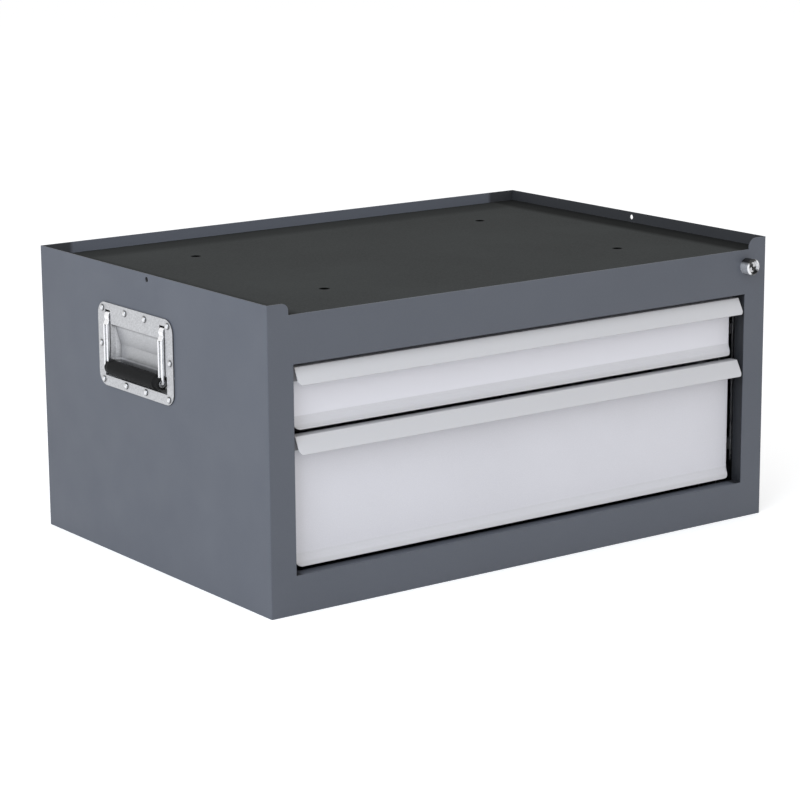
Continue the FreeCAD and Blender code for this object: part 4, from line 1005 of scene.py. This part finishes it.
def light_world(scene, level):
    """Even light at a level, and plain white where a camera, glossy or transmission ray looks."""
    world = bpy.data.worlds.new("studio_world")
    scene.world = world
    world.use_nodes = True
    tree = world.node_tree
    background = tree.nodes["Background"]
    background.inputs["Color"].default_value = (*WHITE, 1)
    strength = spread(tree, seen_directly(tree), level, 1.0, 0.0, 1.0)
    tree.links.new(strength, background.inputs["Strength"])


def add_lamp(scene, name, place, power, tone):
    """A large square lamp, turned to the middle of the chest."""
    lamp = bpy.data.lights.new(name, "AREA")
    lamp.size = LAMP_SIZE
    lamp.energy = power
    lamp.color = tone
    holder = bpy.data.objects.new(name, lamp)
    holder.location = place
    aim = LAMP_AIM - place
    pitch = math.acos(-aim[2] / np.linalg.norm(aim))
    holder.rotation_euler = (pitch, 0, math.atan2(-aim[0], aim[1]))
    scene.collection.objects.link(holder)


def add_camera(scene, studio):
    """The camera in its place, which the scene then looks through."""
    camera = bpy.data.cameras.new("studio_camera")
    camera.lens = studio.lens
    camera.sensor_width = 36.0
    camera.clip_end = 100.0
    viewer = bpy.data.objects.new("studio_camera", camera)
    viewer.location = studio.camera_place
    viewer.rotation_euler = studio.camera_turn
    scene.collection.objects.link(viewer)
    scene.camera = viewer


class CHEST_OT_stage(Operator):
    """Pale floor, white surroundings, soft lamps and the camera"""

    bl_idname = "chest.stage"
    bl_label = "Studio"

    def execute(self, context):
        scene = context.scene
        studio = scene.chest_studio
        add_floor(scene, tuple(studio.floor))
        light_world(scene, studio.sky)
        add_lamp(scene, "key_lamp", (-2.7, -1.0, 1.8), studio.key, (0.94, 1.03, 1.16))
        add_lamp(scene, "front_lamp", (0.9, -3.2, 0.55), studio.fill, (1, 0.99, 0.975))
        add_lamp(scene, "top_lamp", (0.3, 0.4, 3.2), studio.fill / 2, WHITE)
        add_camera(scene, studio)
        scene.view_settings.view_transform = "Standard"
        return {"FINISHED"}


# --- add-on ----------------------------------------------------------------------------------

OPERATORS = (
    CHEST_OT_finish_housing,
    CHEST_OT_finish_drawers,
    CHEST_OT_finish_slides,
    CHEST_OT_finish_handles,
    CHEST_OT_finish_lock,
    CHEST_OT_slide_balls,
    CHEST_OT_drawer_rivets,
    CHEST_OT_handle_grips,
    CHEST_OT_handle_rivets,
    CHEST_OT_handle_springs,
    CHEST_OT_lock_thread,
    CHEST_OT_stage,
)
GROUPS = {"chest_colours": ChestColours, "chest_details": ChestDetails, "chest_studio": ChestStudio}


class CHEST_PT_panel(Panel):
    """Colours, sizes and steps of the tool chest"""

    bl_idname = "CHEST_PT_panel"
    bl_label = "Tool chest"
    bl_space_type = "VIEW_3D"
    bl_region_type = "UI"
    bl_category = "Tool chest"

    def draw(self, context):
        for group in GROUPS:
            box = self.layout.box()
            settings = getattr(context.scene, group)
            for name in settings.__annotations__:
                box.prop(settings, name)
        for operator in OPERATORS:
            self.layout.operator(operator.bl_idname)


CLASSES = (*GROUPS.values(), *OPERATORS, CHEST_PT_panel)


def register():
    """Adds the classes and hangs the three groups of settings on the scene."""
    for item in CLASSES:
        bpy.utils.register_class(item)
    for name, group in GROUPS.items():
        setattr(bpy.types.Scene, name, PointerProperty(type=group))


def unregister():
    """Takes the settings and the classes away again."""
    for name in GROUPS:
        delattr(bpy.types.Scene, name)
    for item in reversed(CLASSES):
        bpy.utils.unregister_class(item)


def main():
    register()
    for operator in OPERATORS:
        area, name = operator.bl_idname.split(".")
        getattr(getattr(bpy.ops, area), name)()


if __name__ == "__main__":
    main()
